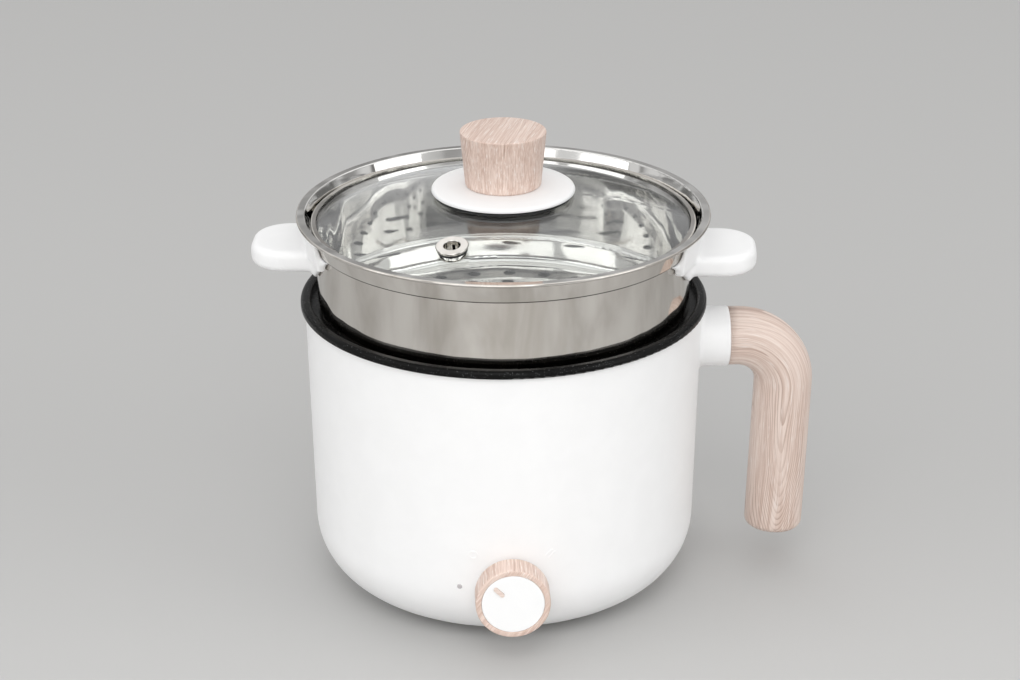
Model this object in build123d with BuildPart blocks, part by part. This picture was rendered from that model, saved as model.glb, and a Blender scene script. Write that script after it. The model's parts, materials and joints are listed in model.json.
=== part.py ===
from build123d import *
import os
from math import cos, degrees, radians, sin, sqrt, tan

# Electric hot pot with a lift-out steamer basket and a lift-off glass lid.
# Millimetres, +Z up. The pot's axis is Z, the table is Z = 0, the handle points
# along +X and the control knob along -Y.

# ----------------------------------------------------------------- clearances
thread_gap = 0.05
fit_gap = 0.1
hole_gap = 0.2
seat_gap = 0.3
blind_hole_spare = 1.5

# ---------------------------------------------------------------- outer shell
shell_top = 145.4
shell_top_radius = 97.8
shell_bottom = 1.2
shell_draft = 1.14
shell_corner = 33.0
shell_wall = 2.6
rebate_wall = 1.3
rebate_depth = 3.2

# ---------------------------------------------------------------- cooking pot
gasket_thickness = 1.2
gasket_width = 3.3
pot_gasket_gap = 1.2
pot_wall = 2.0
pot_floor = 56.0
pot_floor_thickness = 3.0
pot_corner = 20.0
ledge_thickness = 2.8
lip_overhang = 2.2
lip_width = 5.0
lip_height = 4.1
lip_reveal = 0.5
lip_rounding = 1.9
lip_inner_rounding = 1.6
lip_under_rounding = 1.2

# --------------------------------------------------------------------- handle
handle_drop = 21.15
grip_radius = 14.6
grip_wall = 2.8
grip_bend_radius = 24.0
grip_straight = 4.5
grip_lean = 1.6
grip_end_height = 19.6
grip_end_rounding = 3.6
grip_floor = 5.0
collar_step = 0.45
collar_reach = 14.2
collar_floor = 2.2
collar_edge_rounding = 1.2
collar_root_rounding = 2.4
handle_screw_radius = 2.5
handle_screw_head_radius = 4.5
handle_screw_head_height = 2.2
handle_screw_engagement = 10.5

# --------------------------------------------------------------- control knob
knob_height = 35.0
land_radius = 16.0
land_setback = 0.8
land_depth = 8.0
control_gap = 0.3
control_radius = 17.8
control_depth = 12.7
control_wall = 2.8
control_edge_rounding = 0.9
face_thickness = 3.0
face_gap = 0.08
hub_radius = 6.0
hub_gap = 0.4
pointer_start = 6.2
pointer_end = 12.6
pointer_width = 2.3
pointer_depth = 0.6
pointer_height = 0.5
off_angle = 45.0
shaft_radius = 3.0
shaft_flat = 2.3
shaft_running_gap = 0.05
shaft_grip_depth = 6.0

# ---------------------------------------------------------- dial marks (0 I II)
mark_height = 4.6
mark_stroke = 0.9
mark_relief = 0.3
mark_margin = 8.2
zero_radius = 2.3

# -------------------------------------------------------------- rotary switch
switch_width = 27.0
switch_tall = 22.0
switch_depth = 18.0
bushing_radius = 5.0
bushing_reach = 2.6
nut_radius = 7.0
nut_thickness = 2.5
tab_width = 4.8
tab_thickness = 0.8
tab_length = 7.0
switch_tab_pitch = 14.0

# ------------------------------------------------------------- indicator lamp
lamp_angle = 15.1
lamp_height = 35.7
lens_radius = 1.2
lens_proud = 0.3
lens_flange_lap = 1.2
lens_flange_thickness = 1.0
lamp_body_radius = 3.0
lamp_body_length = 9.0

# ---------------------------------------------------------------- power inlet
inlet_height = 42.0
inlet_width = 27.5
inlet_tall = 20.0
inlet_depth = 20.0
inlet_flange_lap = 2.5
inlet_flange_thickness = 2.0
inlet_land_setback = 1.4
inlet_corner = 4.0
inlet_wall = 1.75
inlet_socket_depth = 16.0
inlet_gap = 0.15
blade_width = 2.0
blade_tall = 4.0
blade_reach = 12.0
blade_tail = 6.0
blade_pitch = 7.0
blade_rise = 2.0
clip_thickness = 1.2
clip_margin = 3.0
clip_rise = 1.5

# -------------------------------------------------- heater under the pot floor
plate_margin = 6.2
plate_thickness = 4.0
element_margin = 10.0
element_tube_radius = 3.3
element_arc = 306.0
element_leg_length = 16.0
plate_hole_radius = 9.0
thermostat_radius = 8.0
thermostat_length = 10.0
strap_end_margin = 6.0
strap_width = 10.0
strap_thickness = 1.0
strap_screw_offset = 20.0
strap_boss_radius = 4.0
strap_screw_radius = 1.5
strap_screw_head_radius = 3.0
strap_screw_head_height = 1.8
strap_screw_length = 5.0
thermostat_tab_rise = 2.0
thermostat_tab_length = 6.0
fuse_radius = 2.0
fuse_length = 12.0
fuse_offset = 30.0
fuse_clip_width = 6.0
fuse_clip_thickness = 0.8
fuse_clip_tab = 8.0

# ----------------------------------------------------- standoffs, heat shield
standoff_margin = 10.0
standoff_across_flats = 7.0
standoff_count = 3
standoff_start_angle = 30.0
standoff_thread_radius = 2.0
standoff_stud_length = 6.0
upper_standoff_length = 12.2
earth_screw_margin = 8.0
earth_screw_radius = 2.0
earth_screw_head_radius = 3.8
earth_screw_head_height = 2.4
earth_screw_length = 3.5
shield_margin = 2.0
shield_thickness = 0.8
shield_hole_gap = 2.7

# -------------------------------------------------------- base cover and foot
cover_thickness = 2.6
cover_margin = 2.0
cover_lap = 2.0
cover_flange_thickness = 1.2
cover_fit_gap = 0.2
cover_boss_radius = 6.5
cover_boss_top = 8.0
cover_screw_head_radius = 3.9
cover_screw_head_height = 2.4
cover_screw_recess = 3.6
cover_screw_length = 11.0
vent_slot_count = 16
vent_slot_radius = 24.0
vent_slot_length = 12.0
vent_slot_width = 1.8
foot_margin = 1.9
foot_width = 6.0
foot_groove_depth = 1.2
foot_edge_rounding = 0.6

# ------------------------------------------------------------- steamer basket
steamer_turn = -4.6
steamer_sheet = 0.6
basket_gap = 3.5
basket_lower_gap = 1.4
basket_drop = 14.0
basket_wall_height = 34.7
basket_corner = 4.0
basket_step_width = 2.0
basket_step_rounding = 1.0
neck_flare = 3.5
neck_height = 11.8
rim_width = 3.9
rim_height = 1.5
rim_rounding = 0.7
floor_raise = 1.0
steam_hole_radius = 3.2
steam_ring_count = 4
steam_ring_radius = 20.5
steam_ring_pitch = 16.5
steam_hole_count = 6

# --------------------------------------------------------------- steamer ears
ear_length = 32.0
ear_half_width = 22.5
ear_corner = 18.0
ear_drop = 3.9
ear_thickness = 10.5
ear_rounding = 3.2
saddle_foot = 1.8
saddle_thickness = 2.6
saddle_rounding = 0.9
wing_angle = 29.0
cuff_angle = 25.5
cuff_foot_reach = 2.3
cuff_top_reach = 1.2
cuff_drop = 1.1
bracket_thickness = 1.2
bracket_angle = 9.5
bracket_foot_margin = 1.8
bracket_head_margin = 0.9
tongue_margin = 11.5
tongue_half_width = 7.5
tongue_thickness = 1.6
rivet_angle = 7.2
rivet_drop = 2.2
rivet_radius = 1.5
rivet_head_radius = 2.4
rivet_head_height = 0.9
ear_screw_margin = 7.0
ear_screw_radius = 2.0
ear_screw_head_radius = 3.8
ear_screw_head_height = 2.2
ear_screw_recess = 2.8
ear_screw_length = 5.5

# ------------------------------------------------------------------ glass lid
band_wall = 0.6
band_height = 7.0
band_lip_width = 1.3
band_lip_thickness = 0.7
band_foot_width = 2.2
bead_overhang = 1.2
bead_height = 1.6
bead_rounding = 0.6
seal_height = 1.2
seal_width = 1.4
glass_gap = 0.1
glass_thickness = 4.0
glass_rise = 15.5
vent_angle = -113.0
vent_circle_radius = 66.3
vent_hole_radius = 5.6
vent_barrel_gap = 0.8
vent_barrel_wall = 0.9
vent_flange_lap = 2.1
vent_flange_height = 1.5
vent_gasket_inset = 0.5
vent_gasket_thickness = 1.2
vent_flare_lap = 0.8
vent_flare_height = 0.8

# ------------------------------------------------------------------- lid knob
disc_radius = 34.9
disc_rise = 2.6
disc_edge_rounding = 1.5
disc_gasket_inset = 1.3
disc_gasket_thickness = 0.8
lid_knob_foot_radius = 18.4
lid_knob_top_radius = 21.0
lid_knob_height = 27.3
lid_knob_foot_chamfer = 0.8
lid_knob_top_rounding = 0.7
insert_setback = 1.0
insert_radius = 4.0
insert_length = 14.0
lid_screw_radius = 2.0
lid_screw_hole_gap = 0.6
lid_screw_head_radius = 4.2
lid_screw_head_height = 2.4
lid_screw_engagement = 10.0
washer_inset = 2.0
washer_thickness = 1.0
under_gasket_radius = 11.0
under_gasket_thickness = 1.2

# ---------------------------------------------------- screw heads, inner wires
head_rounding_share = 0.35
drive_slot_width = 1.0
drive_slot_depth = 0.9
wire_radius = 1.1
wire_bend_share = 0.45
wire_lead_in = 7.0
lead_radius = 0.5
lead_spacing = 2.8
lead_run = 7.0

# ----------------------------- places and radii that follow: shell, pot and base
draft_slope = tan(radians(shell_draft))
rebate_radius = shell_top_radius - rebate_wall
rebate_floor = shell_top - rebate_depth
gasket_inner_radius = rebate_radius - gasket_width
pot_radius = gasket_inner_radius - pot_gasket_gap - pot_wall
ledge_bottom = rebate_floor + gasket_thickness
ledge_top = ledge_bottom + ledge_thickness
lip_radius = shell_top_radius + lip_overhang
lip_mouth_radius = lip_radius - lip_width
lip_bottom = shell_top + lip_reveal
pot_underside = pot_floor - pot_floor_thickness
pot_flat_radius = pot_radius - (ledge_bottom - pot_underside) * draft_slope - pot_corner
shell_flat_radius = shell_top_radius - (shell_top - shell_bottom) * draft_slope - shell_corner
foot_outer_radius = shell_flat_radius - foot_margin
foot_inner_radius = foot_outer_radius - foot_width
cover_flange_radius = foot_inner_radius - cover_margin
shell_opening_radius = cover_flange_radius - cover_lap

# -------------------------------------------- places that follow: handle, control
handle_height = shell_top - handle_drop
collar_radius = grip_radius + collar_step
collar_length = shell_top_radius + collar_reach
collar_bore_radius = grip_radius - grip_wall
collar_bore_depth = collar_reach - collar_floor
core_root = collar_length - collar_bore_depth
core_length = collar_bore_depth + grip_straight - fit_gap
bend_start = collar_length + grip_straight
land_face = shell_top_radius - land_setback
land_inner_face = land_face - land_depth
control_back = land_face + control_gap
control_front = control_back + control_depth
bushing_tip = land_face + bushing_reach
hub_length = control_front - face_thickness - bushing_tip - hub_gap
mark_circle_radius = control_radius + mark_margin
switch_back = land_inner_face - switch_depth
lens_flange_radius = lens_radius + lens_flange_lap
inlet_land_face = shell_top_radius - inlet_land_setback
inlet_tail = inlet_land_face - inlet_depth - blade_tail
inlet_flange_width = inlet_width + 2 * inlet_flange_lap
inlet_flange_tall = inlet_tall + 2 * inlet_flange_lap
inlet_socket_width = inlet_width - 2 * inlet_wall
inlet_socket_tall = inlet_tall - 2 * inlet_wall

# --------------------------------------------------- places that follow: heater
plate_radius = pot_flat_radius - plate_margin
plate_underside = pot_underside - plate_thickness
element_ring_radius = plate_radius - element_margin
element_start = 90 + (360 - element_arc) / 2
element_tip = plate_underside - element_leg_length
strap_length = 2 * (strap_screw_offset + strap_end_margin)
strap_bottom = pot_underside - thermostat_length - strap_thickness
strap_top = strap_bottom + strap_thickness
standoff_circle_radius = element_ring_radius - standoff_margin
earth_screw_offset = plate_radius - earth_screw_margin
shield_radius = plate_radius - shield_margin
shield_top = plate_underside - upper_standoff_length
shield_bottom = shield_top - shield_thickness
shield_hole_radius = element_tube_radius + shield_hole_gap

# -------------------------------------------------- places that follow: steamer
basket_radius = lip_mouth_radius - basket_gap
basket_lower_radius = pot_radius - basket_lower_gap
basket_inner_radius = basket_radius - steamer_sheet
basket_seat = ledge_top + seat_gap
basket_bottom = basket_seat - basket_drop
basket_step = basket_seat + basket_wall_height
neck_base_radius = basket_radius + basket_step_width
neck_top_radius = neck_base_radius + neck_flare
rim_radius = neck_top_radius + rim_width
rim_top = basket_step + neck_height
neck_top = rim_top - rim_height / 2
floor_raise_radius = steam_ring_radius + (steam_ring_count - 1.5) * steam_ring_pitch
ear_reach = basket_radius + ear_length
ear_top = basket_step - ear_drop
ear_bottom = ear_top - ear_thickness
saddle_bottom = ear_bottom - saddle_foot
wing_half_width = (basket_radius + saddle_thickness) * sin(radians(wing_angle))
cuff_foot_radius = neck_base_radius + cuff_foot_reach
cuff_top_radius = neck_top_radius + cuff_top_reach
cuff_top = rim_top - rim_height - cuff_drop
bracket_radius = basket_radius + bracket_thickness
bracket_bottom = ear_bottom + bracket_foot_margin
bracket_top = ear_top - bracket_head_margin
pocket_angle = bracket_angle + degrees(fit_gap / bracket_radius)
tongue_bottom = (ear_bottom + ear_top - tongue_thickness) / 2
tongue_reach = ear_reach - tongue_margin
rivet_height = bracket_top - rivet_drop
ear_screw_offset = tongue_reach - ear_screw_margin

# ------------------------------------------------------ places that follow: lid
band_radius = neck_base_radius - steamer_sheet - seat_gap
band_lip_inner_radius = band_radius - band_lip_width
band_foot_inner_radius = band_radius - band_foot_width
bead_radius = band_radius + bead_overhang
lid_seat = basket_step + steamer_sheet + seat_gap
band_top = lid_seat + band_height
seal_inner_radius = band_radius - band_wall - seal_width
glass_radius = band_radius - band_wall - glass_gap
glass_edge_bottom = lid_seat + band_wall + seal_height
glass_edge_top = glass_edge_bottom + glass_thickness
glass_apex = glass_edge_top + glass_rise
glass_sphere = (glass_radius**2 + glass_rise**2) / (2 * glass_rise)
vent_barrel_radius = vent_hole_radius - vent_barrel_gap
vent_bore_radius = vent_barrel_radius - vent_barrel_wall
vent_flange_radius = vent_hole_radius + vent_flange_lap
vent_gasket_radius = vent_flange_radius - vent_gasket_inset
vent_flare_radius = vent_hole_radius + vent_flare_lap
disc_top = glass_apex + disc_rise
disc_gasket_radius = disc_radius - disc_gasket_inset
lid_knob_top = disc_top + lid_knob_height
insert_bottom = disc_top + insert_setback
lid_screw_hole_radius = lid_screw_radius + lid_screw_hole_gap
washer_radius = under_gasket_radius - washer_inset

steamer_frame = Plane.XY.rotated((0, 0, steamer_turn))

finished_parts = []


# ----------------------------------------------------------------- small tools
def keep(builder, name):
    """Label a finished piece and write it to its own file."""
    builder.part.label = name
    export_step(builder.part, f"parts/{name}.step")
    finished_parts.append(builder.part)


def front_plane(distance):
    """A plane across the control knob's axis, looking out along -Y."""
    return Plane(origin=(0, -distance, knob_height), x_dir=(1, 0, 0), z_dir=(0, -1, 0))


def rear_plane(distance):
    """A plane across the power inlet's axis, looking out along +Y."""
    return Plane(origin=(0, distance, inlet_height), x_dir=(-1, 0, 0), z_dir=(0, 1, 0))


def handle_plane(distance):
    """A plane across the handle collar's axis, looking out along +X."""
    return Plane(origin=(distance, 0, handle_height), x_dir=(0, 1, 0), z_dir=(1, 0, 0))


def radial_plane(angle, radius, height):
    """A plane that faces outwards from the pot's axis at a compass angle."""
    outward = (cos(radians(angle)), sin(radians(angle)), 0)
    sideways = (-outward[1], outward[0], 0)
    origin = (radius * outward[0], radius * outward[1], height)
    return Plane(origin=origin, x_dir=sideways, z_dir=outward)


def half_plane(angle):
    """The upright plane through the pot's axis at a compass angle: x is radius, y is height."""
    outward = (cos(radians(angle)), sin(radians(angle)), 0)
    return Plane(origin=(0, 0, 0), x_dir=outward, z_dir=(outward[1], -outward[0], 0))


def cup_section(rim, top, floor, draft, corner):
    """Half section of a cup: a drafted wall, a rounded corner and a flat floor."""
    foot = rim - (top - floor) * tan(radians(draft))
    with BuildSketch(Plane.XZ) as section:
        with BuildLine():
            FilletPolyline((0, floor), (foot, floor), (rim, top), radius=corner)
            Polyline((rim, top), (0, top), (0, floor))
        make_face()
    return section.sketch


def ring_section(inner, outer, bottom, top):
    """Rectangular half section of a ring round the pot's axis."""
    with BuildSketch(Plane.XZ) as section:
        with Locations(((inner + outer) / 2, (bottom + top) / 2)):
            Rectangle(outer - inner, top - bottom)
    return section.sketch


def sheet_section(points, thickness, roundings):
    """Half section of bent sheet: the outer face runs through the points."""
    with BuildSketch(Plane.XZ) as section:
        with BuildLine():
            FilletPolyline(*points, radius=roundings)
            offset(amount=thickness, side=Side.LEFT)
        make_face()
    return section.sketch


def dome_section(outer, apex, thickness):
    """Half section of a dome with the lid's curvature and an even depth."""
    half = outer / 2
    edge_height = dome_height(outer, apex)
    half_height = dome_height(half, apex)
    with BuildSketch(Plane.XZ) as section:
        with BuildLine():
            ThreePointArc((0, apex), (half, half_height), (outer, edge_height))
            Line((outer, edge_height), (outer, edge_height - thickness))
            ThreePointArc(
                (outer, edge_height - thickness), (half, half_height - thickness), (0, apex - thickness)
            )
            Line((0, apex - thickness), (0, apex))
        make_face()
    return section.sketch


def screw(plane, radius, length, head_radius, head_height):
    """A screw: its shank runs along the plane's normal and its head lies behind the plane."""
    with BuildPart() as piece:
        with BuildSketch(plane):
            Circle(radius)
        extrude(amount=length)
        with BuildSketch(plane):
            Circle(head_radius)
        extrude(amount=-head_height)
        head_face = piece.faces().sort_by(Axis(plane.origin, plane.z_dir))[0]
        fillet(head_face.edges(), head_height * head_rounding_share)
        with BuildSketch(plane.offset(-head_height)):
            Rectangle(head_radius, drive_slot_width)
            Rectangle(drive_slot_width, head_radius)
        extrude(amount=drive_slot_depth, mode=Mode.SUBTRACT)
    return piece.part


def grip_path(end_height):
    """Centre line of the grip: out along +X, round the bend and down to a height."""
    with BuildLine(Plane.XZ) as path:
        out = Line((collar_length, handle_height), (bend_start, handle_height))
        bend = JernArc(out @ 1, (1, 0), grip_bend_radius, -(90 + grip_lean))
        top_x = (bend @ 1).X
        top_z = (bend @ 1).Z
        Line((top_x, top_z), (top_x - (top_z - end_height) * tan(radians(grip_lean)), end_height))
    return path.line


def wire(points, radius):
    """A round wire along straight runs, joined by arcs as large as the runs allow."""
    bends = []
    for before, corner, after in zip(points, points[1:], points[2:]):
        run_in = Vector(corner) - Vector(before)
        run_out = Vector(after) - Vector(corner)
        turn = radians(run_in.get_angle(run_out))
        bends.append(wire_bend_share * min(run_in.length, run_out.length) / tan(turn / 2))
    with BuildPart() as piece:
        with BuildLine() as path:
            FilletPolyline(*points, radius=bends)
        with BuildSketch(Plane(origin=path.line @ 0, z_dir=path.line % 0)):
            Circle(radius)
        sweep()
    return piece.part


def standoff_places():
    """Places of the standoffs, bosses and screws round the pot's axis."""
    return PolarLocations(
        standoff_circle_radius, standoff_count, start_angle=standoff_start_angle
    )


def leg_places():
    """Places of the heating element's two cold legs."""
    return PolarLocations(
        element_ring_radius, 2, start_angle=element_start, angular_range=element_arc, endpoint=True
    )


def dome_height(radius, apex):
    """Height of a dome with the lid's curvature at a distance from its axis."""
    return apex - glass_sphere + sqrt(glass_sphere**2 - radius**2)


os.makedirs("parts", exist_ok=True)

# ---------------------------------------------------------------- outer shell
with BuildPart() as dial_marks:
    with BuildSketch(front_plane(0)):
        with PolarLocations(mark_circle_radius, 1, start_angle=90 + off_angle):
            Circle(zero_radius)
            Circle(zero_radius - mark_stroke, mode=Mode.SUBTRACT)
        with PolarLocations(mark_circle_radius, 1, start_angle=90):
            Rectangle(mark_height, mark_stroke)
        with PolarLocations(mark_circle_radius, 1, start_angle=90 - off_angle):
            with Locations((0, -mark_stroke), (0, mark_stroke)):
                Rectangle(mark_height, mark_stroke)
    extrude(amount=control_front)
    add(
        cup_section(shell_top_radius + mark_relief, shell_top, shell_bottom, shell_draft, shell_corner)
    )
    revolve(axis=Axis.Z, mode=Mode.INTERSECT)

with BuildPart() as outer_shell:
    add(cup_section(shell_top_radius, shell_top, shell_bottom, shell_draft, shell_corner))
    revolve(axis=Axis.Z)
    with BuildSketch(handle_plane(collar_length)):
        Circle(collar_radius)
    extrude(amount=-collar_length / 2)
    collar_root = outer_shell.edges().filter_by(
        lambda edge: edge.geom_type not in (GeomType.LINE, GeomType.CIRCLE)
    )
    fillet(collar_root, collar_root_rounding)
    collar_rim = outer_shell.edges().filter_by(GeomType.CIRCLE).sort_by(Axis.X)[-1]
    fillet(collar_rim, collar_edge_rounding)
    with BuildSketch(rear_plane(inlet_land_face)):
        RectangleRounded(
            inlet_flange_width + inlet_corner, inlet_flange_tall + inlet_corner, inlet_corner
        )
    extrude(amount=-inlet_land_face / 2)
    add(dial_marks.part)
    add(
        cup_section(
            shell_top_radius - shell_wall,
            shell_top,
            shell_bottom + shell_wall,
            shell_draft,
            shell_corner - shell_wall,
        )
    )
    revolve(axis=Axis.Z, mode=Mode.SUBTRACT)
    with BuildSketch(front_plane(land_inner_face)):
        Circle(land_radius)
    extrude(amount=land_face - land_inner_face)
    with BuildSketch(front_plane(land_inner_face)):
        Circle(bushing_radius + hole_gap)
    extrude(amount=land_face - land_inner_face, mode=Mode.SUBTRACT)
    with BuildSketch(Plane.XY.offset(rebate_floor)):
        Circle(rebate_radius)
    extrude(amount=rebate_depth, mode=Mode.SUBTRACT)
    with BuildSketch(Plane.XY.offset(shell_bottom)):
        Circle(shell_opening_radius)
    extrude(amount=shell_wall, mode=Mode.SUBTRACT)
    with BuildSketch(Plane.XY.offset(shell_bottom)):
        Circle(cover_flange_radius + cover_fit_gap)
    extrude(amount=cover_flange_thickness, mode=Mode.SUBTRACT)
    with BuildSketch(Plane.XY.offset(shell_bottom)):
        Circle(foot_outer_radius)
        Circle(foot_inner_radius, mode=Mode.SUBTRACT)
    extrude(amount=foot_groove_depth, mode=Mode.SUBTRACT)
    with BuildSketch(handle_plane(collar_length)):
        Circle(collar_bore_radius)
    extrude(amount=-collar_bore_depth, mode=Mode.SUBTRACT)
    with BuildSketch(handle_plane(collar_length)):
        Circle(handle_screw_radius + hole_gap)
    extrude(amount=-collar_length / 2, mode=Mode.SUBTRACT)
    with BuildSketch(radial_plane(-90 - lamp_angle, shell_top_radius, lamp_height)):
        Circle(lens_radius + thread_gap)
    extrude(amount=-shell_top_radius / 4, mode=Mode.SUBTRACT)
    with BuildSketch(rear_plane(inlet_land_face)):
        Rectangle(inlet_width + 2 * inlet_gap, inlet_tall + 2 * inlet_gap)
    extrude(amount=-inlet_land_face / 4, mode=Mode.SUBTRACT)
keep(outer_shell, "outer_shell")

with BuildPart() as rim_gasket:
    add(ring_section(gasket_inner_radius, rebate_radius, rebate_floor, ledge_bottom))
    revolve(axis=Axis.Z)
keep(rim_gasket, "rim_gasket")

# ---------------------------------------------------------------- cooking pot
with BuildPart() as inner_pot:
    add(
        cup_section(
            pot_radius + pot_wall, ledge_bottom, pot_underside, shell_draft, pot_corner + pot_wall
        )
    )
    revolve(axis=Axis.Z)
    add(ring_section(pot_radius - pot_wall, rebate_radius - lip_reveal / 2, ledge_bottom, ledge_top))
    revolve(axis=Axis.Z)
    with BuildSketch(Plane.XZ):
        with BuildLine():
            FilletPolyline(
                (lip_mouth_radius, ledge_top),
                (lip_mouth_radius, lip_bottom + lip_height),
                (lip_radius, lip_bottom + lip_height),
                (lip_radius, lip_bottom),
                (lip_mouth_radius, lip_bottom),
                radius=[lip_inner_rounding, lip_rounding, lip_under_rounding],
            )
            Line((lip_mouth_radius, lip_bottom), (lip_mouth_radius, ledge_top))
        make_face()
    revolve(axis=Axis.Z)
    add(cup_section(pot_radius, ledge_top, pot_floor, shell_draft, pot_corner))
    revolve(axis=Axis.Z, mode=Mode.SUBTRACT)
keep(inner_pot, "inner_pot")

# --------------------------------------------------------------------- handle
with BuildPart() as handle_grip:
    with BuildSketch(handle_plane(collar_length)):
        Circle(grip_radius)
    sweep(path=grip_path(grip_end_height))
    end_face = handle_grip.faces().sort_by(Axis.Z)[0]
    fillet(end_face.edges(), grip_end_rounding)
    with BuildSketch(handle_plane(collar_length)):
        Circle(grip_radius - grip_wall)
    sweep(path=grip_path(grip_end_height + grip_floor), mode=Mode.SUBTRACT)
keep(handle_grip, "handle_grip")

# The core plugs into the shell's collar and the grip slides over its far half.
with BuildPart() as handle_core:
    with BuildSketch(handle_plane(core_root)):
        Circle(collar_bore_radius - fit_gap)
    extrude(amount=core_length)
    with BuildSketch(handle_plane(core_root)):
        Circle(handle_screw_radius + thread_gap)
    extrude(amount=handle_screw_engagement + blind_hole_spare, mode=Mode.SUBTRACT)
keep(handle_core, "handle_core")

screw_seat = (
    shell_top_radius - shell_wall - (shell_top - handle_height) * draft_slope - seat_gap
)
with BuildPart() as handle_screw:
    add(
        screw(
            handle_plane(screw_seat),
            handle_screw_radius,
            core_root + handle_screw_engagement - screw_seat,
            handle_screw_head_radius,
            handle_screw_head_height,
        )
    )
keep(handle_screw, "handle_screw")

# -------------------------------------------------------------- rotary switch
with BuildPart() as rotary_switch:
    with BuildSketch(front_plane(switch_back)):
        RectangleRounded(switch_width, switch_tall, control_edge_rounding)
    extrude(amount=switch_depth)
    with BuildSketch(front_plane(land_inner_face)):
        Circle(bushing_radius)
    extrude(amount=bushing_tip - land_inner_face)
    with BuildSketch(front_plane(bushing_tip)):
        Circle(shaft_radius + shaft_running_gap)
    extrude(amount=land_inner_face - bushing_tip - switch_depth / 2, mode=Mode.SUBTRACT)
keep(rotary_switch, "rotary_switch")

with BuildPart() as switch_nut:
    with BuildSketch(front_plane(land_face)):
        RegularPolygon(nut_radius, 6)
        Circle(bushing_radius + thread_gap, mode=Mode.SUBTRACT)
    extrude(amount=nut_thickness)
keep(switch_nut, "switch_nut")

with BuildPart() as switch_tabs:
    with BuildSketch(front_plane(switch_back)):
        with GridLocations(switch_tab_pitch, 0, 2, 1):
            Rectangle(tab_width, tab_thickness)
    extrude(amount=-tab_length)
keep(switch_tabs, "switch_tabs")

# --------------------------------------------------------------- control knob
with BuildPart() as control_ring:
    with BuildSketch(front_plane(control_back)):
        Circle(control_radius)
    extrude(amount=control_front - control_back)
    fillet(control_ring.edges(), control_edge_rounding)
    with BuildSketch(front_plane(control_back)):
        Circle(control_radius - control_wall)
    extrude(amount=control_front - control_back, mode=Mode.SUBTRACT)
keep(control_ring, "control_ring")

pointer_middle = (pointer_start + pointer_end) / 2
with BuildPart() as control_face:
    with BuildSketch(front_plane(control_front)):
        Circle(control_radius - control_wall - face_gap)
    extrude(amount=-face_thickness)
    front_rim = control_face.faces().sort_by(Axis.Y)[0].edges()
    fillet(front_rim, control_edge_rounding / 2)
    with BuildSketch(front_plane(control_front - face_thickness)):
        Circle(hub_radius)
    extrude(amount=-hub_length)
    with BuildSketch(front_plane(control_front - face_thickness - hub_length)):
        Circle(shaft_radius + thread_gap)
        with Locations((0, shaft_radius + shaft_flat + 2 * thread_gap)):
            Rectangle(2 * shaft_radius, 2 * shaft_radius, mode=Mode.SUBTRACT)
    extrude(amount=shaft_grip_depth, mode=Mode.SUBTRACT)
    with BuildSketch(front_plane(control_front)):
        with PolarLocations(pointer_middle, 1, start_angle=90 + off_angle):
            SlotOverall(pointer_end - pointer_start, pointer_width)
    extrude(amount=-pointer_depth, mode=Mode.SUBTRACT)
keep(control_face, "control_face")

with BuildPart() as pointer_bar:
    with BuildSketch(front_plane(control_front - pointer_depth)):
        with PolarLocations(pointer_middle, 1, start_angle=90 + off_angle):
            SlotOverall(pointer_end - pointer_start, pointer_width)
    extrude(amount=pointer_depth + pointer_height)
    raised_rim = pointer_bar.faces().sort_by(Axis.Y)[0].edges()
    fillet(raised_rim, pointer_height / 2)
keep(pointer_bar, "pointer_bar")

shaft_tip = control_front - face_thickness - hub_length + shaft_grip_depth
shaft_tail = land_inner_face - switch_depth / 2 + seat_gap
with BuildPart() as switch_shaft:
    with BuildSketch(front_plane(shaft_tail)):
        Circle(shaft_radius)
    extrude(amount=shaft_tip - shaft_tail)
    with BuildSketch(front_plane(shaft_tip)):
        with Locations((0, shaft_radius + shaft_flat)):
            Rectangle(2 * shaft_radius, 2 * shaft_radius)
    extrude(amount=-shaft_grip_depth, mode=Mode.SUBTRACT)
keep(switch_shaft, "switch_shaft")

# ------------------------------------------------------------- indicator lamp
lamp_plane = radial_plane(-90 - lamp_angle, 0, lamp_height)
shell_radius_at_lamp = shell_top_radius - (shell_top - lamp_height) * draft_slope
lens_seat = shell_radius_at_lamp - shell_wall - inlet_gap
with BuildPart() as indicator_lens:
    with BuildSketch(lamp_plane.offset(lens_seat)):
        Circle(lens_radius)
    extrude(amount=shell_wall + inlet_gap + lens_proud)
    dome_rim = indicator_lens.faces().sort_by(Axis((0, 0, 0), lamp_plane.z_dir))[-1].edges()
    fillet(dome_rim, lens_proud)
    with BuildSketch(lamp_plane.offset(lens_seat)):
        Circle(lens_flange_radius)
    extrude(amount=-lens_flange_thickness)
keep(indicator_lens, "indicator_lens")

with BuildPart() as indicator_lamp:
    with BuildSketch(lamp_plane.offset(lens_seat - lens_flange_thickness)):
        Circle(lamp_body_radius)
    extrude(amount=-lamp_body_length)
    lamp_ends = indicator_lamp.faces().filter_by(GeomType.PLANE).edges()
    fillet(lamp_ends, lens_proud)
keep(indicator_lamp, "indicator_lamp")

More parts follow.
